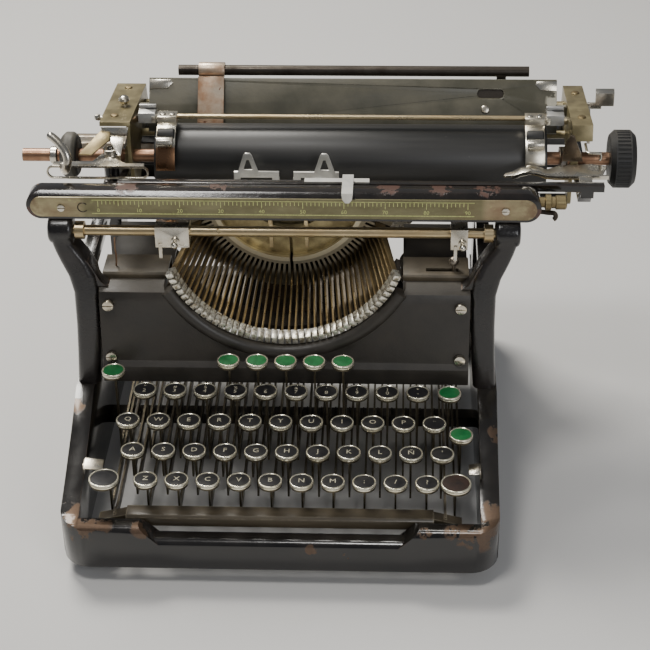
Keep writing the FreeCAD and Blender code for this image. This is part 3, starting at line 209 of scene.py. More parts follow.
def base_spots():
    """Places on the casting where hands and tables have rubbed the enamel through."""
    return [(spot(-125, 5, 44), 21 * MM), (spot(-112, 3, 43), 15 * MM), (spot(-133, 12, 47), 17 * MM),
            (spot(125, 4, 44), 22 * MM), (spot(110, 2, 43), 13 * MM), (spot(133, 14, 46), 18 * MM),
            (spot(-82, 4, 42), 11 * MM), (spot(88, 1, 42), 7 * MM), (spot(134, 70, 66), 9 * MM),
            (spot(-134, 84, 76), 10 * MM), (spot(20, 0, 28), 5 * MM), (spot(42, 0, 24), 4 * MM)]


def rail_spots():
    """Rubbed places along the top of the rail, and chips at its ends."""
    return [(spot(-96, 124, 211), 12 * MM), (spot(-38, 124, 211), 9 * MM), (spot(64, 123, 211), 10 * MM),
            (spot(96, 125, 211), 12 * MM), (spot(124, 123, 211), 11 * MM), (spot(-155, 115, 196), 9 * MM),
            (spot(154, 115, 196), 8 * MM)]


def beyond(letter, start, end):
    """A mask that rises from 0 at start to 1 at end along one axis."""
    return lambda t: t.ramp(t.axis(letter), start, end)


def knob_flanks(t):
    """1 on the two flat faces of the left knob, which get painted shade, 0 on its rim."""
    low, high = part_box("left_knob")
    middle, half = (low.x + high.x) / 2, (high.x - low.x) / 2
    away = t.math("ABSOLUTE", t.math("SUBTRACT", t.axis("X"), middle))
    return t.ramp(away, half - 1.6 * MM, half - 0.8 * MM)


def left_strap_foot(t):
    """1 on the lower half of the left bail finger only."""
    low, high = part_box("bail_fingers")
    lower = t.ramp(t.axis("Z"), low.z + 15 * MM, low.z + 13 * MM)
    left = t.ramp(t.axis("X"), (low.x + high.x) / 2 + MM, (low.x + high.x) / 2 - MM)
    return t.math("MULTIPLY", lower, left)


japan = aged("black_japan", (0.006, 0.0055, 0.0055), (0.012, 0.010, 0.009), BROWN_METAL, rough=(0.10, 0.26),
             grain=45, chips=0.745, coat=0.5, spots=base_spots(), worn_metal=0.75, dust=0.06,
             edge_share=0.55).material
rail_paint = aged("rail_enamel", (0.008, 0.0075, 0.0075), (0.018, 0.014, 0.012), (0.11, 0.052, 0.036),
                  rough=(0.06, 0.16), grain=70, chips=0.72, coat=0.4, spots=rail_spots(), worn_metal=0.2,
                  edge_share=0.35, dust=0.05).material
column_paint = aged("column_enamel", (0.009, 0.008, 0.008), (0.020, 0.016, 0.014), BROWN_METAL, rough=(0.20, 0.38),
                    grain=50, chips=0.74, coat=0.3, worn_metal=0.6, bumps=0.16 * MM, dust=0.08).material
charcoal = aged("charcoal_enamel", (0.024, 0.021, 0.017), (0.040, 0.034, 0.027), (0.12, 0.095, 0.07),
                rough=(0.34, 0.54), grain=38, chips=0.745, dust=0.15, worn_metal=0.3, bumps=0.12 * MM,
                edge_share=0.5).material
# Ribbon covers: brown enamel in front; the part behind 143 mm is tinted near-black as painted shadow under the scale
# bar.
cover_paint_and_shade = aged("cover_enamel_and_shade", (0.060, 0.050, 0.034), (0.11, 0.088, 0.056), (0.20, 0.16, 0.10),
                   rough=(0.30, 0.50), grain=60, chips=0.72, dust=0.2, worn_metal=0.3,
                   tint=(beyond("Y", spot(0, 143, 0).y, spot(0, 144, 0).y), (0.014, 0.013, 0.012))).material
inner_iron = aged("inner_iron", (0.018, 0.015, 0.013), (0.040, 0.030, 0.022), (0.13, 0.095, 0.06), metal=0.3,
                  rough=(0.40, 0.65), grain=55, chips=0.70, dust=0.3).material
table_paint = aged("table_enamel", (0.072, 0.068, 0.046), (0.115, 0.104, 0.070), (0.56, 0.53, 0.42),
                   rough=(0.32, 0.50), grain=42, chips=0.73, edge=0.7 * MM, dust=0.15, worn_metal=0.1,
                   spots=[(spot(-98, 224, 226), 9 * MM), (spot(176, 222, 222), 14 * MM)]).material
bracket_paint = aged("bracket_brass", (0.20, 0.165, 0.085), (0.31, 0.26, 0.14), (0.50, 0.43, 0.25),
                     rough=(0.28, 0.46), grain=70, chips=0.66, edge=1.2 * MM, worn_metal=0.8, metal=0.55,
                     dust=0.1).material
nickel = aged("nickel_plate", (0.74, 0.71, 0.63), (0.56, 0.50, 0.39), (0.38, 0.29, 0.18), metal=1.0,
              rough=(0.16, 0.34), grain=90, chips=0.70, edge_share=0.3, dust=0.05, bumps=0.03 * MM).material
bail_nickel = aged("bail_nickel", (0.70, 0.67, 0.58), (0.50, 0.44, 0.33), (0.34, 0.25, 0.15), metal=0.95,
                   rough=(0.20, 0.38), grain=90, chips=0.68, edge_share=0.35, dust=0.05, bumps=0.04 * MM,
                   tint=(left_strap_foot, (0.30, 0.165, 0.09))).material
satin_nickel = aged("satin_nickel", (0.50, 0.50, 0.49), (0.40, 0.39, 0.36), (0.28, 0.22, 0.15), metal=0.8,
                    rough=(0.36, 0.5), grain=110, chips=0.72, edge_share=0.3, dust=0.05, bumps=0.03 * MM).material
rusty_nickel = aged("rusty_nickel", (0.56, 0.46, 0.35), (0.33, 0.19, 0.11), (0.22, 0.10, 0.055), metal=0.75,
                    rough=(0.30, 0.56), grain=75, chips=0.60, edge_share=0.6, dust=0.1, bumps=0.08 * MM).material
steel = aged("aged_steel", (0.36, 0.33, 0.28), (0.22, 0.17, 0.12), (0.14, 0.08, 0.05), metal=0.95,
             rough=(0.28, 0.48), grain=85, chips=0.66, edge_share=0.3, dust=0.15).material
dark_steel = aged("dark_steel", (0.070, 0.060, 0.050), (0.034, 0.027, 0.021), (0.26, 0.21, 0.15), metal=0.8,
                  rough=(0.28, 0.46), grain=70, chips=0.72, edge_share=0.6).material
release_metal = aged("release_bronze", (0.105, 0.080, 0.055), (0.052, 0.038, 0.027), (0.34, 0.28, 0.19), metal=0.75,
                     rough=(0.24, 0.42), grain=90, chips=0.72, edge_share=0.8, edge=0.7 * MM).material
brass = aged("old_brass", (0.66, 0.54, 0.33), (0.46, 0.34, 0.18), (0.26, 0.16, 0.085), metal=0.95,
             rough=(0.22, 0.40), grain=80, chips=0.68, edge_share=0.3, streaks=(0.25, 1, 1)).material
dull_brass = aged("dull_brass", (0.30, 0.24, 0.12), (0.18, 0.13, 0.065), (0.46, 0.38, 0.22), metal=0.85,
                  rough=(0.30, 0.48), grain=80, chips=0.70, edge_share=0.5).material
copper = aged("copper_brown", (0.40, 0.24, 0.15), (0.26, 0.14, 0.085), (0.54, 0.42, 0.28), metal=0.9,
              rough=(0.30, 0.48), grain=90, chips=0.68).material
rubber = aged("rubber", (0.010, 0.010, 0.010), (0.022, 0.021, 0.019), rough=(0.42, 0.66), grain=90, dust=0.2,
              bumps=0.15 * MM).material
# Left knob: the grey rim is worn rubber and partly painted light; the near-black flat faces are painted shade.
knob_rubber_light_and_shade = aged("knob_rubber_light_and_shade", (0.105, 0.098, 0.080), (0.060, 0.055, 0.045), (0.20, 0.18, 0.14),
                   rough=(0.45, 0.66), grain=110, chips=0.70, bumps=0.12 * MM,
                   tint=(knob_flanks, (0.020, 0.018, 0.016))).material


def platen_material():
    """Hard rubber: fine rings round the roller, long polished streaks, scuffs and pale specks."""
    t = Tree("platen_rubber")
    streak = t.noise(60, 5.0, 0.6, t.stretched(0.08, 1, 1))
    rings = t.noise(500, 3.0, 0.5, t.stretched(1, 0.05, 0.05))
    specks = t.ramp(t.noise(700, 2.0, 0.5), 0.76, 0.78)
    colour = t.blend(t.ramp(streak, 0.35, 0.7), (0.019, 0.019, 0.018), (0.038, 0.036, 0.033))
    colour = t.blend(t.math("MULTIPLY", specks, 0.5), colour, (0.32, 0.30, 0.26))
    t.feed(t.shader.inputs["Base Color"], colour)
    t.feed(t.shader.inputs["Roughness"], t.ramp(streak, 0.3, 0.7, 0.34, 0.52))
    height = t.math("ADD", t.math("MULTIPLY", rings, 0.5), streak)
    t.feed(t.shader.inputs["Normal"], t.bump(height, 0.05 * MM))
    return t.material


def typebar_material():
    """Oily golden steel that darkens towards the pivots, with bright slugs at the front ends."""
    t = Tree("typebar_metal")
    low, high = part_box("typebars")
    along = t.ramp(t.axis("Y"), low.y, high.y)
    mottle = t.noise(260, 5.0, 0.6)
    bar = t.blend(mottle, (0.64, 0.50, 0.27), (0.34, 0.24, 0.115))
    bar = t.blend(t.ramp(along, 0.30, 0.95), bar, (0.060, 0.044, 0.028))
    worn = t.ramp(t.noise(420, 5.0, 0.65), 0.46, 0.60)
    slug = t.blend(worn, (0.90, 0.87, 0.76), (0.36, 0.31, 0.22))
    tip = t.ramp(along, 0.120, 0.112)
    t.feed(t.shader.inputs["Base Color"], t.blend(tip, bar, slug))
    t.feed(t.shader.inputs["Metallic"], t.ramp(tip, 0.0, 1.0, 0.92, 0.78))
    t.feed(t.shader.inputs["Roughness"], t.ramp(mottle, 0.3, 0.7, 0.24, 0.46))
    t.feed(t.shader.inputs["Normal"], t.bump(t.noise(1500, 3.0), 0.02 * MM))
    return t.material


def segment_material():
    """Brown oiled iron; the ring about the basket's axis is ground bright."""
    t = Tree("segment_iron")
    low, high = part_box("type_segment")
    mottle = t.noise(90, 6.0, 0.6)
    iron = t.blend(t.ramp(mottle, 0.35, 0.65), (0.040, 0.030, 0.021), (0.11, 0.078, 0.050))
    front = t.ramp(t.axis("Y"), low.y + 2.8 * MM, low.y + 2.2 * MM)
    centre = ((low.x + high.x) / 2, low.y + 6 * MM, high.z + 8 * MM)
    gilt = t.ramp(t.away(centre), 53 * MM, 51 * MM)
    iron = t.blend(gilt, iron, t.blend(t.ramp(mottle, 0.4, 0.6), (0.46, 0.38, 0.20), (0.26, 0.205, 0.10)))
    colour = t.blend(front, iron, t.blend(mottle, (0.80, 0.74, 0.56), (0.58, 0.50, 0.33)))
    t.feed(t.shader.inputs["Base Color"], colour)
    t.feed(t.shader.inputs["Metallic"], t.ramp(front, 0.0, 1.0, 0.6, 0.95))
    t.feed(t.shader.inputs["Roughness"], t.ramp(mottle, 0.3, 0.7, 0.28, 0.5))
    t.feed(t.shader.inputs["Normal"], t.bump(t.noise(700, 4.0), 0.05 * MM))
    return t.material


def lever_material():
    """Key levers: dark oiled steel with paler, yellower worn edges and chips."""
    return aged("lever_steel", (0.13, 0.112, 0.076), (0.060, 0.049, 0.033), (0.40, 0.34, 0.22), metal=0.85,
                rough=(0.26, 0.46), grain=120, chips=0.68, edge=0.4 * MM, edge_share=0.9, dust=0.1).material


def space_material():
    """Stained brown bar with a polished front edge; the pale colour on its edges is partly wear and partly a painted
    highlight.
    """
    return aged("space_bar_brown", (0.048, 0.038, 0.024), (0.090, 0.071, 0.044), (0.44, 0.38, 0.27),
                rough=(0.26, 0.44), grain=50, chips=0.745, edge=1.3 * MM, edge_share=0.9, worn_metal=0.3, coat=0.2,
                streaks=(0.2, 1, 1), dust=0.08).material


def scale_material():
    """Khaki brass face, darker where the numbers are and rubbed with green and red-brown stains."""
    t = Tree("scale_brass")
    medium = t.noise(90, 6.0, 0.62, t.stretched(0.5, 1, 1))
    broad = t.noise(22, 4.0)
    colour = t.blend(t.ramp(medium, 0.35, 0.68), (0.44, 0.38, 0.22), (0.25, 0.20, 0.11))
    colour = t.blend(t.ramp(broad, 0.52, 0.70, 0.0, 0.75), colour, (0.24, 0.12, 0.075))
    colour = t.blend(t.ramp(t.noise(260, 6.0, 0.65), 0.60, 0.70, 0.0, 0.7), colour, (0.50, 0.50, 0.22))
    low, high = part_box("scale_plate")
    reach = (high.x - low.x) / 2
    away = t.math("ABSOLUTE", t.math("SUBTRACT", t.axis("X"), spot(0, 0, 0).x))
    printed = t.ramp(away, reach - 30 * MM, reach - 34 * MM, 0.0, 0.60)
    colour = t.blend(printed, colour, (0.10, 0.105, 0.045))
    rubbed = t.math("MULTIPLY", t.ramp(away, reach - 16 * MM, reach - 2 * MM),
                    t.ramp(t.noise(130, 6.0, 0.65), 0.45, 0.60, 0.0, 0.8))
    colour = t.blend(rubbed, colour, (0.17, 0.10, 0.06))
    t.feed(t.shader.inputs["Base Color"], colour)
    t.shader.inputs["Metallic"].default_value = 0.45
    t.feed(t.shader.inputs["Roughness"], t.ramp(medium, 0.3, 0.7, 0.28, 0.5))
    t.feed(t.shader.inputs["Normal"], t.bump(t.noise(900, 4.0), 0.04 * MM))
    return t.material


def key_face(name, base, second, speck):
    """Printed disc under a clear top: soft mottling, a few specks and a glossy coat."""
    t = Tree(name)
    mottle = t.noise(220, 5.0, 0.6)
    specks = t.ramp(t.noise(1400, 3.0, 0.6), 0.70, 0.73, 0.0, 0.45)
    colour = t.blend(t.ramp(mottle, 0.35, 0.68), base, second)
    t.feed(t.shader.inputs["Base Color"], t.blend(specks, colour, speck))
    t.feed(t.shader.inputs["Roughness"], t.ramp(mottle, 0.3, 0.7, 0.30, 0.5))
    t.shader.inputs["Specular IOR Level"].default_value = 0.25
    t.shader.inputs["Coat Weight"].default_value = 0.12
    t.shader.inputs["Coat Roughness"].default_value = 0.12
    t.feed(t.shader.inputs["Normal"], t.bump(mottle, 0.05 * MM))
    return t.material


def painted_mark(name, base, second):
    """Flat filling paint of legends and graduations, thin and uneven."""
    t = Tree(name)
    patchy = t.noise(900, 4.0, 0.6)
    t.feed(t.shader.inputs["Base Color"], t.blend(t.ramp(patchy, 0.4, 0.65), base, second))
    t.feed(t.shader.inputs["Roughness"], t.ramp(patchy, 0.3, 0.7, 0.4, 0.6))
    t.feed(t.shader.inputs["Normal"], t.bump(patchy, 0.02 * MM))
    return t.material


platen_rubber = platen_material()
typebar_metal = typebar_material()
segment_iron = segment_material()
lever_steel = lever_material()
space_brown = space_material()
scale_brass = scale_material()
black_face = key_face("black_face", (0.012, 0.012, 0.014), (0.028, 0.026, 0.026), (0.20, 0.18, 0.14))
brown_face = key_face("brown_face", (0.050, 0.030, 0.024), (0.024, 0.018, 0.016), (0.30, 0.22, 0.14))
green_face = key_face("green_face", (0.010, 0.13, 0.035), (0.026, 0.21, 0.065), (0.22, 0.42, 0.20))
bright_steel = aged("bright_steel", (0.86, 0.85, 0.80), (0.70, 0.68, 0.62), (0.40, 0.33, 0.22), metal=0.85,
                    rough=(0.34, 0.48), grain=120, chips=0.74, edge_share=0.2, dust=0.0, bumps=0.02 * MM).material
cream_ring = aged("cream_nickel", (0.90, 0.86, 0.70), (0.74, 0.68, 0.50), metal=0.8, rough=(0.20, 0.30), grain=110,
                  dust=0.0, bumps=0.004 * MM).material
# The typebar rest's near-black is partly its own colour and partly painted shade behind the front plate's rim.
leather = aged("rest_leather", (0.020, 0.016, 0.013), (0.045, 0.034, 0.025), rough=(0.6, 0.85), grain=160,
               dust=0.1, bumps=0.12 * MM).material
legend_paint = painted_mark("legend_cream", (0.72, 0.67, 0.50), (0.26, 0.235, 0.17))
tick_paint = painted_mark("tick_yellow", (0.66, 0.68, 0.24), (0.36, 0.40, 0.15))

CAD_FINISH = {
    japan: ["base_casting", "rear_frame", "carriage_frame"],
    column_paint: ["side_columns"],
    rail_paint: ["front_rail"],
    charcoal: ["front_plate"],
    cover_paint_and_shade: ["ribbon_covers"],
    inner_iron: ["lever_guide", "spring_drum"],
    table_paint: ["paper_table"],
    bracket_paint: ["end_brackets"],
    nickel: ["frame_screws", "margin_stop_right", "margin_stop_left", "carriage_guard",
             "return_lever", "carriage_release", "bell"],
    bright_steel: ["card_holder", "carriage_pointer"],
    bail_nickel: ["bail_fingers"],
    rusty_nickel: ["paper_guide"],
    steel: ["fulcrum_shaft", "rear_rail", "escapement_rack", "ribbon_spool_left", "ribbon_spool_right",
            "ribbon_selector"],
    dark_steel: ["table_rod"],
    release_metal: ["paper_release"],
    brass: ["margin_rod", "ribbon_vibrator", "bail_rod"],
    copper: ["platen_shaft"],
    rubber: ["rubber_feet", "feed_roller_front", "feed_roller_rear", "right_knob"],
    knob_rubber_light_and_shade: ["left_knob"],
    platen_rubber: ["platen"],
    typebar_metal: ["typebars", "typebar_h"],
    segment_iron: ["type_segment"],
    scale_brass: ["scale_plate"],
    space_brown: ["space_bar"],
    lever_steel: [n for n in nodes if "key" in n],
}

# ------------------------------------------------------------------ mesh helpers


def smooth_group():
    """Geometry nodes: shade smooth, but keep edges over 32 degrees sharp."""
    tree = bpy.data.node_groups.new("smooth_by_angle", "GeometryNodeTree")
    tree.interface.new_socket("Geometry", in_out="INPUT", socket_type="NodeSocketGeometry")
    tree.interface.new_socket("Geometry", in_out="OUTPUT", socket_type="NodeSocketGeometry")
    start, end = tree.nodes.new("NodeGroupInput"), tree.nodes.new("NodeGroupOutput")
    faces, rims = tree.nodes.new("GeometryNodeSetShadeSmooth"), tree.nodes.new("GeometryNodeSetShadeSmooth")
    angle, compare = tree.nodes.new("GeometryNodeInputMeshEdgeAngle"), tree.nodes.new("FunctionNodeCompare")
    faces.domain, rims.domain = "FACE", "EDGE"
    compare.data_type, compare.operation = "FLOAT", "GREATER_THAN"
    compare.inputs[1].default_value = math.radians(32)
    rims.inputs["Shade Smooth"].default_value = False
    tree.links.new(start.outputs[0], faces.inputs["Geometry"])
    tree.links.new(angle.outputs["Unsigned Angle"], compare.inputs[0])
    tree.links.new(faces.outputs[0], rims.inputs["Geometry"])
    tree.links.new(compare.outputs["Result"], rims.inputs["Selection"])
    tree.links.new(rims.outputs[0], end.inputs[0])
    return tree


SMOOTH = smooth_group()


def soften(obj, width=0.0):
    """Welds split corners, rounds sharp edges by a width, and shades the rest smooth."""
    weld = obj.modifiers.new("weld", "WELD")
    weld.merge_threshold = 0.004 * MM
    if width:
        bevel = obj.modifiers.new("bevel", "BEVEL")
        bevel.width, bevel.segments = width, 2
        bevel.limit_method, bevel.angle_limit = "ANGLE", math.radians(38)
        bevel.use_clamp_overlap = True
    smooth = obj.modifiers.new("smooth", "NODES")
    smooth.node_group = SMOOTH


def piece(name, mesh, body, finish, soft=0.0):
    """Links a mesh as an object that rides on a body."""
    obj = bpy.data.objects.new(name, mesh)
    bpy.context.scene.collection.objects.link(obj)
    mesh.materials.clear()
    mesh.materials.append(finish)
    soften(obj, soft)
    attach(obj, body)
    return obj


def build(name, fill):
    """A mesh made by a function that fills a bmesh."""
    bm = bmesh.new()
    fill(bm)
    bmesh.ops.recalc_face_normals(bm, faces=bm.faces)
    mesh = bpy.data.meshes.new(name)
    bm.to_mesh(mesh)
    bm.free()
    return mesh


def turn_profile(bm, profile, at, axis="z", steps=40):
    """Spins (radius, height) points about an axis through a place; height runs along the axis."""
    turn = {"z": Matrix(), "x": Matrix.Rotation(math.pi / 2, 4, "Y"), "y": Matrix.Rotation(-math.pi / 2, 4, "X")}
    stand = Matrix.Translation(at) @ turn[axis]
    rings = []
    for radius, height in profile:
        if radius < 1e-9:
            rings.append([bm.verts.new(stand @ Vector((0, 0, height)))])
            continue
        rings.append([bm.verts.new(stand @ Vector((radius * math.cos(a), radius * math.sin(a), height)))
                      for a in (2 * math.pi * i / steps for i in range(steps))])
    for one, other in zip(rings, rings[1:]):
        for i in range(steps):
            j = (i + 1) % steps
            corners = [one[i % len(one)], one[j % len(one)], other[j % len(other)], other[i % len(other)]]
            corners = list(dict.fromkeys(corners))
            if len(corners) > 2:
                bm.faces.new(corners)


def box_at(bm, low, high):
    """A box between two corners."""
    low, high = Vector(low), Vector(high)
    made = bmesh.ops.create_cube(bm, size=1.0)
    size = Matrix.Diagonal((*(high - low), 1.0))
    place = Matrix.Translation((low + high) / 2) @ size
    bmesh.ops.transform(bm, matrix=place, verts=made["verts"])


def wire_mesh(name, points, radius):
    """A round wire through points, as a mesh."""
    curve = bpy.data.curves.new(name, "CURVE")
    curve.dimensions = "3D"
    curve.bevel_depth, curve.bevel_resolution, curve.resolution_u = radius, 3, 6
    curve.use_fill_caps = True
    spline = curve.splines.new("NURBS")
    spline.points.add(len(points) - 1)
    for point, place in zip(spline.points, points):
        point.co = (*place, 1.0)
    spline.order_u, spline.use_endpoint_u = 3, True
    holder = bpy.data.objects.new(name, curve)
    bpy.context.scene.collection.objects.link(holder)
    bpy.context.view_layer.update()
    mesh = bpy.data.meshes.new_from_object(holder.evaluated_get(bpy.context.evaluated_depsgraph_get()))
    bpy.data.objects.remove(holder)
    return mesh


def join_meshes(name, meshes):
    """Several meshes as one, from pairs of a mesh and its matrix."""
    bm = bmesh.new()
    for mesh, matrix in meshes:
        part = bmesh.new()
        part.from_mesh(mesh)
        part.transform(matrix)
        temp = bpy.data.meshes.new("temp")
        part.to_mesh(temp)
        part.free()
        bm.from_mesh(temp)
        bpy.data.meshes.remove(temp)
    result = bpy.data.meshes.new(name)
    bm.to_mesh(result)
    bm.free()
    return result


def letter_mesh(text, size):
    """One legend as a thin solid, centred on its own origin, in the XY plane."""
    curve = bpy.data.curves.new("legend", "FONT")
    curve.body, curve.size, curve.extrude = text, size, 0.05 * MM
    curve.align_x, curve.align_y = "CENTER", "CENTER"
    curve.resolution_u = 2
    holder = bpy.data.objects.new("legend", curve)
    bpy.context.scene.collection.objects.link(holder)
    bpy.context.view_layer.update()
    mesh = bpy.data.meshes.new_from_object(holder.evaluated_get(bpy.context.evaluated_depsgraph_get()))
    bpy.data.objects.remove(holder)
    return mesh


# ------------------------------------------------------------------ CAD nodes: finishes and softened edges

EDGE_WIDTH = {
    "base_casting": 1.6, "side_columns": 1.2, "front_rail": 1.2, "front_plate": 0.6, "rear_frame": 1.2,
    "rubber_feet": 0.8, "paper_table": 0.5, "end_brackets": 0.8, "carriage_frame": 0.7, "return_lever": 0.4,
    "space_bar": 0.5, "platen": 0.8, "margin_stop_left": 0.6, "margin_stop_right": 0.6, "paper_guide": 0.4,
    "bail_fingers": 0.4, "carriage_guard": 0.4, "left_knob": 0.8, "bell": 0.4, "spring_drum": 0.6,
    "ribbon_covers": 0.5, "typebars": 0.2, "typebar_h": 0.2, "scale_plate": 0.3,
    "card_holder": 0.25, "paper_release": 0.9, "carriage_release": 0.4, "rear_rail": 0.5, "lever_guide": 0.3,
    "frame_screws": 0.5,
}
for finish, names in CAD_FINISH.items():
    for node_name in names:
        obj = nodes[node_name]
        obj.data.materials.clear()
        obj.data.materials.append(finish)
        soften(obj, EDGE_WIDTH.get(node_name, 0.0) * MM)

# ------------------------------------------------------------------ keys

ROWS = {
    "keys_number_row": ["2", "3", "4", "5", "6", "7", "8", "9", "0", "-"],
    "keys_upper_row": ["Q", "W", "E", "R", "T", "Y", "U", "I", "O", "P", "\u00a8"],
    "keys_home_row": ["A", "S", "D", "F", "G", "", "J", "K", "L", "\u00d1", "'"],
    "keys_lower_row": ["Z", "X", "C", "V", "B", "N", "M", ":", "/", "?"],
}
UPPER_SIGNS = {"2": '"', "3": "#", "4": "$", "5": "%", "6": "_", "7": "&", "8": "'", "9": "(", "0": ")", "-": "*"}
CAP_RADIUS = 7.1 * MM


def ring_profile(radius, top):
    """Section of the crimped metal ring, from its inner lip over the bead to the under-flange."""
    points = [(-0.85, 0.10), (-0.76, 0.38), (-0.52, 0.56), (-0.22, 0.58), (0.08, 0.44), (0.26, 0.18), (0.32, -0.15),
              (0.28, -0.5), (0.16, -0.8), (0.12, -1.3), (0.20, -1.6), (0.16, -1.9), (0.0, -2.05)]
    return [(radius + a * MM, top + b * MM) for a, b in points]


def face_profile(radius, top):
    """Slightly domed disc inside the ring."""
    inner = radius - 0.85 * MM
    return [(0, top + 0.52 * MM), (0.35 * inner, top + 0.49 * MM), (0.7 * inner, top + 0.38 * MM),
            (inner, top + 0.16 * MM)]


def socket_profile(radius, top):
    """Stepped hub under the cap, down to the stem."""
    return [(0.50 * radius, top - 3.3 * MM), (0.40 * radius, top - 4.2 * MM), (0.28 * radius, top - 4.7 * MM),
            (0.22 * radius, top - 6.2 * MM), (0.14 * radius, top - 6.5 * MM)]


def key_tops(name, places, radius, body, face, legends):
    """Rings, faces, hubs and legends of the keys of one body."""

    def fill(profile):
        def work(bm):
            for place in places:
                turn_profile(bm, profile(radius, place.z), (place.x, place.y, 0))
        return work

    piece(f"{name}_rings", build(f"{name}_rings", fill(ring_profile)), body, cream_ring)
    piece(f"{name}_faces", build(f"{name}_faces", fill(face_profile)), body, face)
    piece(f"{name}_hubs", build(f"{name}_hubs", fill(socket_profile)), body, dark_steel)
    parts = []
    for place, legend in zip(places, legends):
        lift = place.z + 0.50 * MM
        if legend in UPPER_SIGNS:
            parts.append((letter_mesh(legend, 4.6 * MM), Matrix.Translation((place.x, place.y - 1.9 * MM, lift))))
            sign = letter_mesh(UPPER_SIGNS[legend], 3.8 * MM)
            parts.append((sign, Matrix.Translation((place.x, place.y + 2.2 * MM, lift))))
        elif legend:
            parts.append((letter_mesh(legend, 5.6 * MM), Matrix.Translation((place.x, place.y, lift))))
    if parts:
        piece(f"{name}_legends", join_meshes(f"{name}_legends", parts), body, legend_paint)


def row_places(node_name, count):
    """Centres of a row's caps: the caps are the node's widest part, and its foremost."""
    low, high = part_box(node_name)
    pitch = (high.x - low.x - 2 * CAP_RADIUS) / (count - 1)
    return [Vector((low.x + CAP_RADIUS + pitch * i, low.y + CAP_RADIUS, high.z)) for i in range(count)]


for row_name, legends in ROWS.items():
    places = row_places(row_name, len(legends))
    if row_name == "keys_home_row":
        kept = [i for i, legend in enumerate(legends) if legend]
        places, legends = [places[i] for i in kept], [legends[i] for i in kept]
    key_tops(row_name, places, CAP_RADIUS, row_name, black_face, legends)

SINGLE_KEYS = {
    "key_h": (black_face, "H"), "shift_key_left": (black_face, ""), "shift_key_right": (brown_face, ""),
    "backspace_key": (green_face, ""), "margin_release_key": (green_face, ""), "shift_lock_key": (green_face, ""),
    **{f"tab_key_{i}": (green_face, "") for i in range(1, 6)},
}
for node_name, (face, legend) in SINGLE_KEYS.items():
    low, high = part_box(node_name)
    radius = (high.x - low.x) / 2
    cap = Vector(((low.x + high.x) / 2, low.y + radius, high.z))
    key_tops(node_name, [cap], radius, node_name, face, [legend])

# ------------------------------------------------------------------ scale: graduations and numbers


def scale_marks():
    """Ticks at letter pitch, longer at every fifth and tenth, with a number at each tenth."""
    low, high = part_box("scale_plate")
    front = low.y - 0.04 * MM
    pitch, top = 2.5 * MM, high.z - 2.2 * MM
    margin = 41 * MM
    count = int((high.x - low.x - 2 * margin) / pitch)
    start = (low.x + high.x) / 2 - pitch * count / 2

    def ticks(bm):
        for i in range(count + 1):
            long = {0: 4.2, 5: 3.4}.get(i % 10, 2.4) * MM
            x = start + pitch * i
            box_at(bm, (x - 0.2 * MM, front, top - long), (x + 0.2 * MM, front + 0.1 * MM, top))
        for z, thick in ((top + 0.3 * MM, 0.35 * MM), (low.z + 2.2 * MM, 0.5 * MM)):
            box_at(bm, (start - 4 * MM, front, z), (start + pitch * count + 4 * MM, front + 0.1 * MM, z + thick))

    piece("scale_ticks", build("scale_ticks", ticks), "frame", tick_paint)
    upright = Matrix.Rotation(math.pi / 2, 4, "X")
    numbers = []
    for i in range(0, count + 1, 10):
        at = Matrix.Translation((start + pitch * i, front + 0.05 * MM, low.z + 4.6 * MM))
        numbers.append((letter_mesh(str(i), 3.6 * MM), at @ upright))
    piece("scale_numbers", join_meshes("scale_numbers", numbers), "frame", tick_paint)


scale_marks()

# ------------------------------------------------------------------ small fittings

PLATEN_AXIS = Vector((0, *((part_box("platen")[0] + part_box("platen")[1]) / 2).yz))


def dome_profile(radius, high):
    """A round screw or rivet head that stands on height 0."""
    return [(radius, 0), (radius, 0.45 * high), (0.8 * radius, 0.85 * high), (0.4 * radius, high), (0, high)]


def dome_heads(name, places, radius, body, finish):
    """Round heads that stand upright at several places."""

    def fill(bm):
        for place in places:
            turn_profile(bm, dome_profile(radius, 0.5 * radius), place, "z", 24)

    return piece(name, build(name, fill), body, finish)


def plate_mesh(name, corners, thick):
    """A flat plate through its corners, given in order round its edge, with a thickness."""

    def fill(bm):
        face = bm.faces.new([bm.verts.new(corner) for corner in corners])
        bm.normal_update()
        lift = face.normal * thick
        made = bmesh.ops.extrude_face_region(bm, geom=[face])
        moved = [item for item in made["geom"] if isinstance(item, bmesh.types.BMVert)]
        bmesh.ops.translate(bm, vec=lift, verts=moved)

    return build(name, fill)


def on_table(x, z, out):
    """A place in front of the sloping paper table: X and height in millimetres, out from its face."""
    low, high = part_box("paper_table")
    foot, head = Vector((0, low.y, low.z + 0.8 * MM)), Vector((0, high.y - 1.27 * MM, high.z))
    along = head - foot
    share = (z * MM - foot.z) / along.z
    face = foot + along * share
    outward = Vector((0, -along.z, along.y)).normalized() * out * MM
    return Vector((spot(x, 0, 0).x, face.y, face.z)) + outward


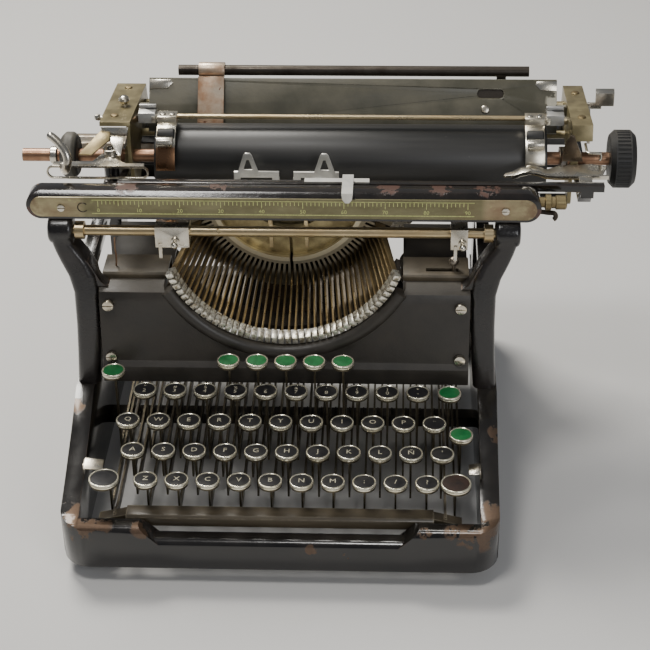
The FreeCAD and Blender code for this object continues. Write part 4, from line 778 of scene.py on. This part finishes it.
def table_fittings():
    """Bright corner plates, a screw, and the dark tab behind the slot of the paper table."""
    low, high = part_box("paper_table")
    middle = (low.x + high.x) / 2 - spot(0, 0, 0).x
    half = (high.x - low.x) / 2
    corners = []
    for side, wide in ((-1, 15.5), (1, 14)):
        outer = (middle + side * (half - 6.6 * MM)) / MM
        inner = outer - side * wide
        spots = [on_table(outer, 228.2, 0.1), on_table(outer, 233.6, 0.1), on_table(inner + side * 1.5, 233.6, 0.1),
                 on_table(inner, 231.8, 0.1), on_table(inner + side * 3.5, 228.6, 0.1)]
        corners.append((plate_mesh("corner", spots[::side], 0.5 * MM), Matrix()))
    piece("table_corners", join_meshes("table_corners", corners), "platen_frame", nickel, 0.15 * MM)
    tab = plate_mesh("slot_tab", [on_table(x, z, -2.0) for x, z in
                                  ((119, 222), (140, 222), (140, 231), (119, 231))], 0.4 * MM)
    piece("slot_tab", tab, "platen_frame", dark_steel)
    head = on_table(126.1, 217.9, 0.0)
    slope = Matrix.Rotation(math.radians(57.6), 4, "X")
    screw = build("table_screw", lambda bm: turn_profile(bm, dome_profile(2.7 * MM, 1.3 * MM), (0, 0, 0)))
    screw.transform(Matrix.Translation(head) @ slope)
    piece("table_screw", screw, "platen_frame", nickel)


def bail_fittings():
    """Rubber rollers in the bail's fingers, with the square stops and the clamp screws beside them."""
    low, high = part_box("bail_rod")
    middle = (low.x + high.x) / 2
    rollers = [(0, -5.4), (3.3, -5.4), (4.0, -4.7), (4.0, 4.7), (3.3, 5.4), (0, 5.4)]

    def fill(bm):
        for side in (-1, 1):
            at = Vector((middle + side * 116 * MM, *spot(0, 172, 221.4).yz))
            turn_profile(bm, [(r * MM, z * MM) for r, z in rollers], at, "x", 32)

    piece("bail_rollers", build("bail_rollers", fill), "paper_bail", rubber, 0.2 * MM)

    def stops(bm):
        for side in (-1, 1):
            near, far = middle + side * 123.4 * MM, middle + side * 134.5 * MM
            front, back = spot(0, 181, 0).y, spot(0, 190, 0).y
            foot, shoulder, head = 224.6 * MM, 231.8 * MM, 234.5 * MM
            box_at(bm, (min(near, far), front, foot), (max(near, far), back, shoulder))
            box_at(bm, (min(near, far), back - 2.2 * MM, shoulder), (max(near, far), back, head))

    piece("bail_stops", build("bail_stops", stops), "paper_bail", satin_nickel, 0.5 * MM)
    screws = [Vector((middle + side * (116 + step) * MM, spot(0, 184, 0).y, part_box("bail_fingers")[1].z))
              for side in (-1, 1) for step in (-3, 3)]
    dome_heads("bail_screws", screws, 2.1 * MM, "paper_bail", nickel)


def flange_height(y):
    """Height of the top flange of the end brackets at a place along it."""
    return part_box("end_brackets")[1].z - 9 * MM * (y * MM - 178 * MM) / (78 * MM)


def bracket_fittings():
    """What stands on the end brackets: a ball stud, a pin and nut, rivets, bright lips and arms."""
    left, right = (corner.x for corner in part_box("end_brackets"))
    stud = Vector((left + 11.5 * MM, spot(0, 210, 0).y, flange_height(210)))
    ball = [(0, 0), (2.2, 0), (2.0, 1.0), (1.9, 1.4), (3.1, 2.4), (3.6, 4.0), (3.1, 5.8), (1.8, 6.9), (0, 7.2)]
    pin = [(0, 6.0), (1.1, 6.0), (1.1, 1.6), (1.9, 1.2), (2.3, 0), (1.9, -1.6), (0.9, -2.4), (0, -2.5)]

    def fill(bm):
        turn_profile(bm, [(r * MM, z * MM) for r, z in ball], stud, "z", 32)
        turn_profile(bm, [(r * MM, z * MM) for r, z in pin], Vector((left - 4.5 * MM, *spot(0, 200, 219.6).yz)),
                     "x", 24)

    piece("bracket_studs", build("bracket_studs", fill), "platen_frame", nickel)
    heads = [Vector((x, spot(0, y, 0).y, flange_height(y) - 0.1 * MM))
             for x, y in ((left + 9 * MM, 246), (left + 8 * MM, 190), (right - 6 * MM, 192), (right - 6 * MM, 240))]
    dome_heads("bracket_rivets", heads, 2.6 * MM, "platen_frame", dull_brass)
    lip = plate_mesh("lip", [spot(-118.5, 176.0, 224.2), spot(-101.0, 176.0, 224.2), spot(-102.0, 174.6, 218.4),
                             spot(-116.8, 174.6, 218.4)], 0.9 * MM)
    flare = plate_mesh("flare", [spot(-116.0, 174.2, 219.0), spot(-103.5, 174.2, 219.0), spot(-104.2, 160.5, 212.6),
                                 spot(-106.5, 160.5, 212.6), spot(-110.5, 168.0, 215.8)], 0.9 * MM)
    piece("bracket_lips", join_meshes("bracket_lips", [(lip, Matrix()), (flare, Matrix())]), "platen_frame",
          nickel, 0.2 * MM)
    arm = plate_mesh("slanted_arm", [spot(-131, 160, 212.4), spot(-122.5, 159.5, 212.4), spot(-112.5, 170, 217.6),
                                     spot(-112.5, 177, 221.0), spot(-118.5, 177, 221.0)], 1.2 * MM)
    piece("slanted_arm", arm, "platen_frame", dull_brass, 0.3 * MM)
    loop = wire_mesh("guard_loop", [spot(187.5, 175, 215.4), spot(187.5, 164.6, 215.0), spot(188.5, 163.4, 214.8),
                                    spot(195.2, 163.4, 214.6), spot(196.4, 164.6, 214.2), spot(196.8, 166, 208.6),
                                    spot(196.8, 171, 207.0)], 0.9 * MM)
    piece("guard_loop", loop, "platen_frame", nickel)


def carriage_fittings():
    """The collar on the platen's left shaft and the wedge under the right end of the front bar."""
    shaft_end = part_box("platen_shaft")[0].x
    profile = [(4.3, -2.3), (5.0, -2.3), (5.6, -1.7), (5.6, 1.7), (5.0, 2.3), (4.3, 2.3), (4.3, -2.3)]

    def collar(bm):
        turn_profile(bm, [(r * MM, z * MM) for r, z in profile], PLATEN_AXIS + Vector((shaft_end + 20.3 * MM, 0, 0)),
                     "x", 36)

    piece("shaft_collar", build("shaft_collar", collar), "platen", nickel)
    wedge = plate_mesh("front_wedge", [spot(152, 139.2, 202.4), spot(191.5, 139.2, 202.4), spot(187, 139.2, 199.4),
                                       spot(158, 139.2, 200.8)], 4.2 * MM)
    piece("front_wedge", wedge, "carriage", dull_brass, 0.4 * MM)


def rail_fittings():
    """The capped nut and hook at the right end of the rail, and the round mark left of the scale."""
    rail_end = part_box("front_rail")[1].x
    profile = [(0, 15.5), (3.4, 15.5), (4.4, 14.6), (4.4, 9.0), (3.6, 8.4), (3.6, 6.4), (4.9, 5.8), (4.9, 2.6),
               (3.2, 2.0), (3.2, -2.0), (0, -2.0)]

    def nut(bm):
        turn_profile(bm, [(r * MM, z * MM) for r, z in profile], Vector((rail_end, *spot(0, 120.5, 203.0).yz)),
                     "x", 32)

    piece("rail_nut", build("rail_nut", nut), "frame", dull_brass)
    hook = wire_mesh("rail_hook", [spot(154, 121, 196.5), spot(158, 121, 196.2), spot(162, 120, 196.0),
                                   spot(165.5, 118.5, 197.0), spot(166.5, 118, 194.0), spot(165, 118, 192.6)],
                     1.5 * MM)
    piece("rail_hook", hook, "frame", dark_steel)
    turns = [math.radians(angle) for angle in range(-140, 141, 20)]
    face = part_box("scale_plate")[0].y / MM - spot(0, 0, 0).y / MM
    arc = [spot(-122 - 3.1 * math.cos(a), face, 201.0 + 3.1 * math.sin(a)) for a in turns]
    piece("scale_mark", wire_mesh("scale_mark", arc, 0.35 * MM), "frame", dark_steel)


def slug_rest():
    """Dark half-ring on which the typebars rest, just behind the rim of the front plate; its darkness is partly the
    rest's own colour and partly painted shade under that rim.
    """
    axis, inner, outer = spot(0, 0, 188), 78.7 * MM, 82.0 * MM
    front, back = spot(0, 125.0, 0).y, spot(0, 141.0, 0).y
    steps, sweep = 48, 62

    def fill(bm):
        rings = []
        for i in range(steps + 1):
            turn = math.radians(-sweep + 2 * sweep * i / steps)
            rings.append([bm.verts.new((axis.x + r * math.sin(turn), y, axis.z - r * math.cos(turn)))
                          for r, y in ((inner, front), (inner, back), (outer, back), (outer, front))])
        for one, other in zip(rings, rings[1:]):
            for k in range(4):
                bm.faces.new((one[k], one[(k + 1) % 4], other[(k + 1) % 4], other[k]))
        bm.faces.new(rings[0][::-1])
        bm.faces.new(rings[-1])

    piece("typebar_rest", build("typebar_rest", fill), "frame", leather, 0.4 * MM)


def frame_fittings():
    """Loose wire, spring clips on the side walls and the brass stop under the space bar."""
    wire = wire_mesh("loose_wire", [spot(-107.3, 128, 151.0), spot(-106.6, 128.4, 158.0), spot(-107.6, 128.2, 164.0),
                                    spot(-107.0, 129, 171.0)], 0.55 * MM)
    piece("loose_wire", wire, "frame", copper)
    clips = []
    for side in (-1, 1):
        foot = [spot(side * 122.4, 40, 52), spot(side * 122.4, 47, 52), spot(side * 122.0, 47, 59.5),
                spot(side * 122.0, 40, 59.5)]
        tip = side * (110.5 if side < 0 else 115.5)
        reach = [spot(side * 122.2, 37, 58.6), spot(side * 122.2, 46, 60.6), spot(tip, 46, 59.2),
                 spot(tip, 38, 57.4)]
        clips += [(plate_mesh("clip", foot[::side], 0.9 * MM), Matrix()),
                  (plate_mesh("clip", reach[::side], 0.7 * MM), Matrix())]
    piece("wall_clips", join_meshes("wall_clips", clips), "frame", nickel, 0.2 * MM)
    stop = [(0, 3.6), (1.6, 3.5), (3.0, 2.8), (3.5, 1.8), (3.5, 0.4), (2.4, 0), (2.4, -1.5), (0, -1.5)]

    def button(bm):
        turn_profile(bm, [(r * MM, z * MM) for r, z in stop], spot(59, 14.6, 21.5), "y", 28)

    piece("brass_stop", build("brass_stop", button), "frame", brass)


table_fittings()
bail_fittings()
bracket_fittings()
carriage_fittings()
rail_fittings()
frame_fittings()
slug_rest()

# ------------------------------------------------------------------ floor, light and camera


def pale_floor():
    """A wide matt floor, faintly uneven in tone."""
    mesh = build("floor", lambda bm: box_at(bm, (-3, -2.2, -0.02), (3, 3.4, 0)))
    obj = bpy.data.objects.new("floor", mesh)
    bpy.context.scene.collection.objects.link(obj)
    t = Tree("pale_floor")
    t.shader.inputs["Roughness"].default_value = 0.85
    cloud = t.noise(3.0, 3.0)
    t.feed(t.shader.inputs["Base Color"], t.blend(cloud, (0.66, 0.65, 0.63), (0.70, 0.69, 0.67)))
    mesh.materials.append(t.material)


def area_light(name, place, aim, size, power, colour):
    """A square lamp at a place, turned towards another."""
    data = bpy.data.lights.new(name, "AREA")
    data.shape, data.size, data.energy, data.color = "SQUARE", size, power, colour
    obj = bpy.data.objects.new(name, data)
    obj.location = place
    obj.rotation_euler = (Vector(aim) - Vector(place)).to_track_quat("-Z", "Y").to_euler()
    bpy.context.scene.collection.objects.link(obj)


def studio():
    """A dim bluish sky, a warm key from behind, a weak fill from the front and a small lamp above."""
    world = bpy.data.worlds.new("studio")
    bpy.context.scene.world = world
    world.use_nodes = True
    sky = world.node_tree.nodes["Background"]
    sky.inputs["Color"].default_value = (0.88, 0.92, 1.0, 1.0)
    sky.inputs["Strength"].default_value = 0.17
    centre = (0, 0, 0.12)
    area_light("key_light", (-0.55, 0.72, 1.45), centre, 0.6, 30, (1.0, 0.97, 0.91))
    area_light("fill_light", (0.75, -1.25, 0.80), centre, 0.7, 7, (0.97, 0.98, 1.0))
    area_light("top_light", (-0.35, -0.45, 1.6), centre, 0.35, 9, (1.0, 0.98, 0.95))


def camera():
    """Seen from a little right of centre and above, looking slightly to the left and 32.5 degrees down."""
    pitch, yaw, roll = math.radians(32.5), math.radians(2.8), math.radians(-0.87)
    forward = Vector((-math.sin(yaw) * math.cos(pitch), math.cos(yaw) * math.cos(pitch), -math.sin(pitch)))
    level = Vector((math.cos(yaw), math.sin(yaw), 0))
    above = level.cross(forward)
    right = level * math.cos(roll) + above * math.sin(roll)
    up = above * math.cos(roll) - level * math.sin(roll)
    data = bpy.data.cameras.new("camera")
    data.sensor_width, data.lens = 36.0, 96.92
    data.clip_start = 0.05
    obj = bpy.data.objects.new("camera", data)
    eye = Vector((0.04635, -0.96749, 0.71226))
    obj.matrix_world = Matrix((
        (right.x, up.x, -forward.x, eye.x), (right.y, up.y, -forward.y, eye.y),
        (right.z, up.z, -forward.z, eye.z), (0, 0, 0, 1)))
    bpy.context.scene.collection.objects.link(obj)
    bpy.context.scene.camera = obj


pale_floor()
studio()
camera()
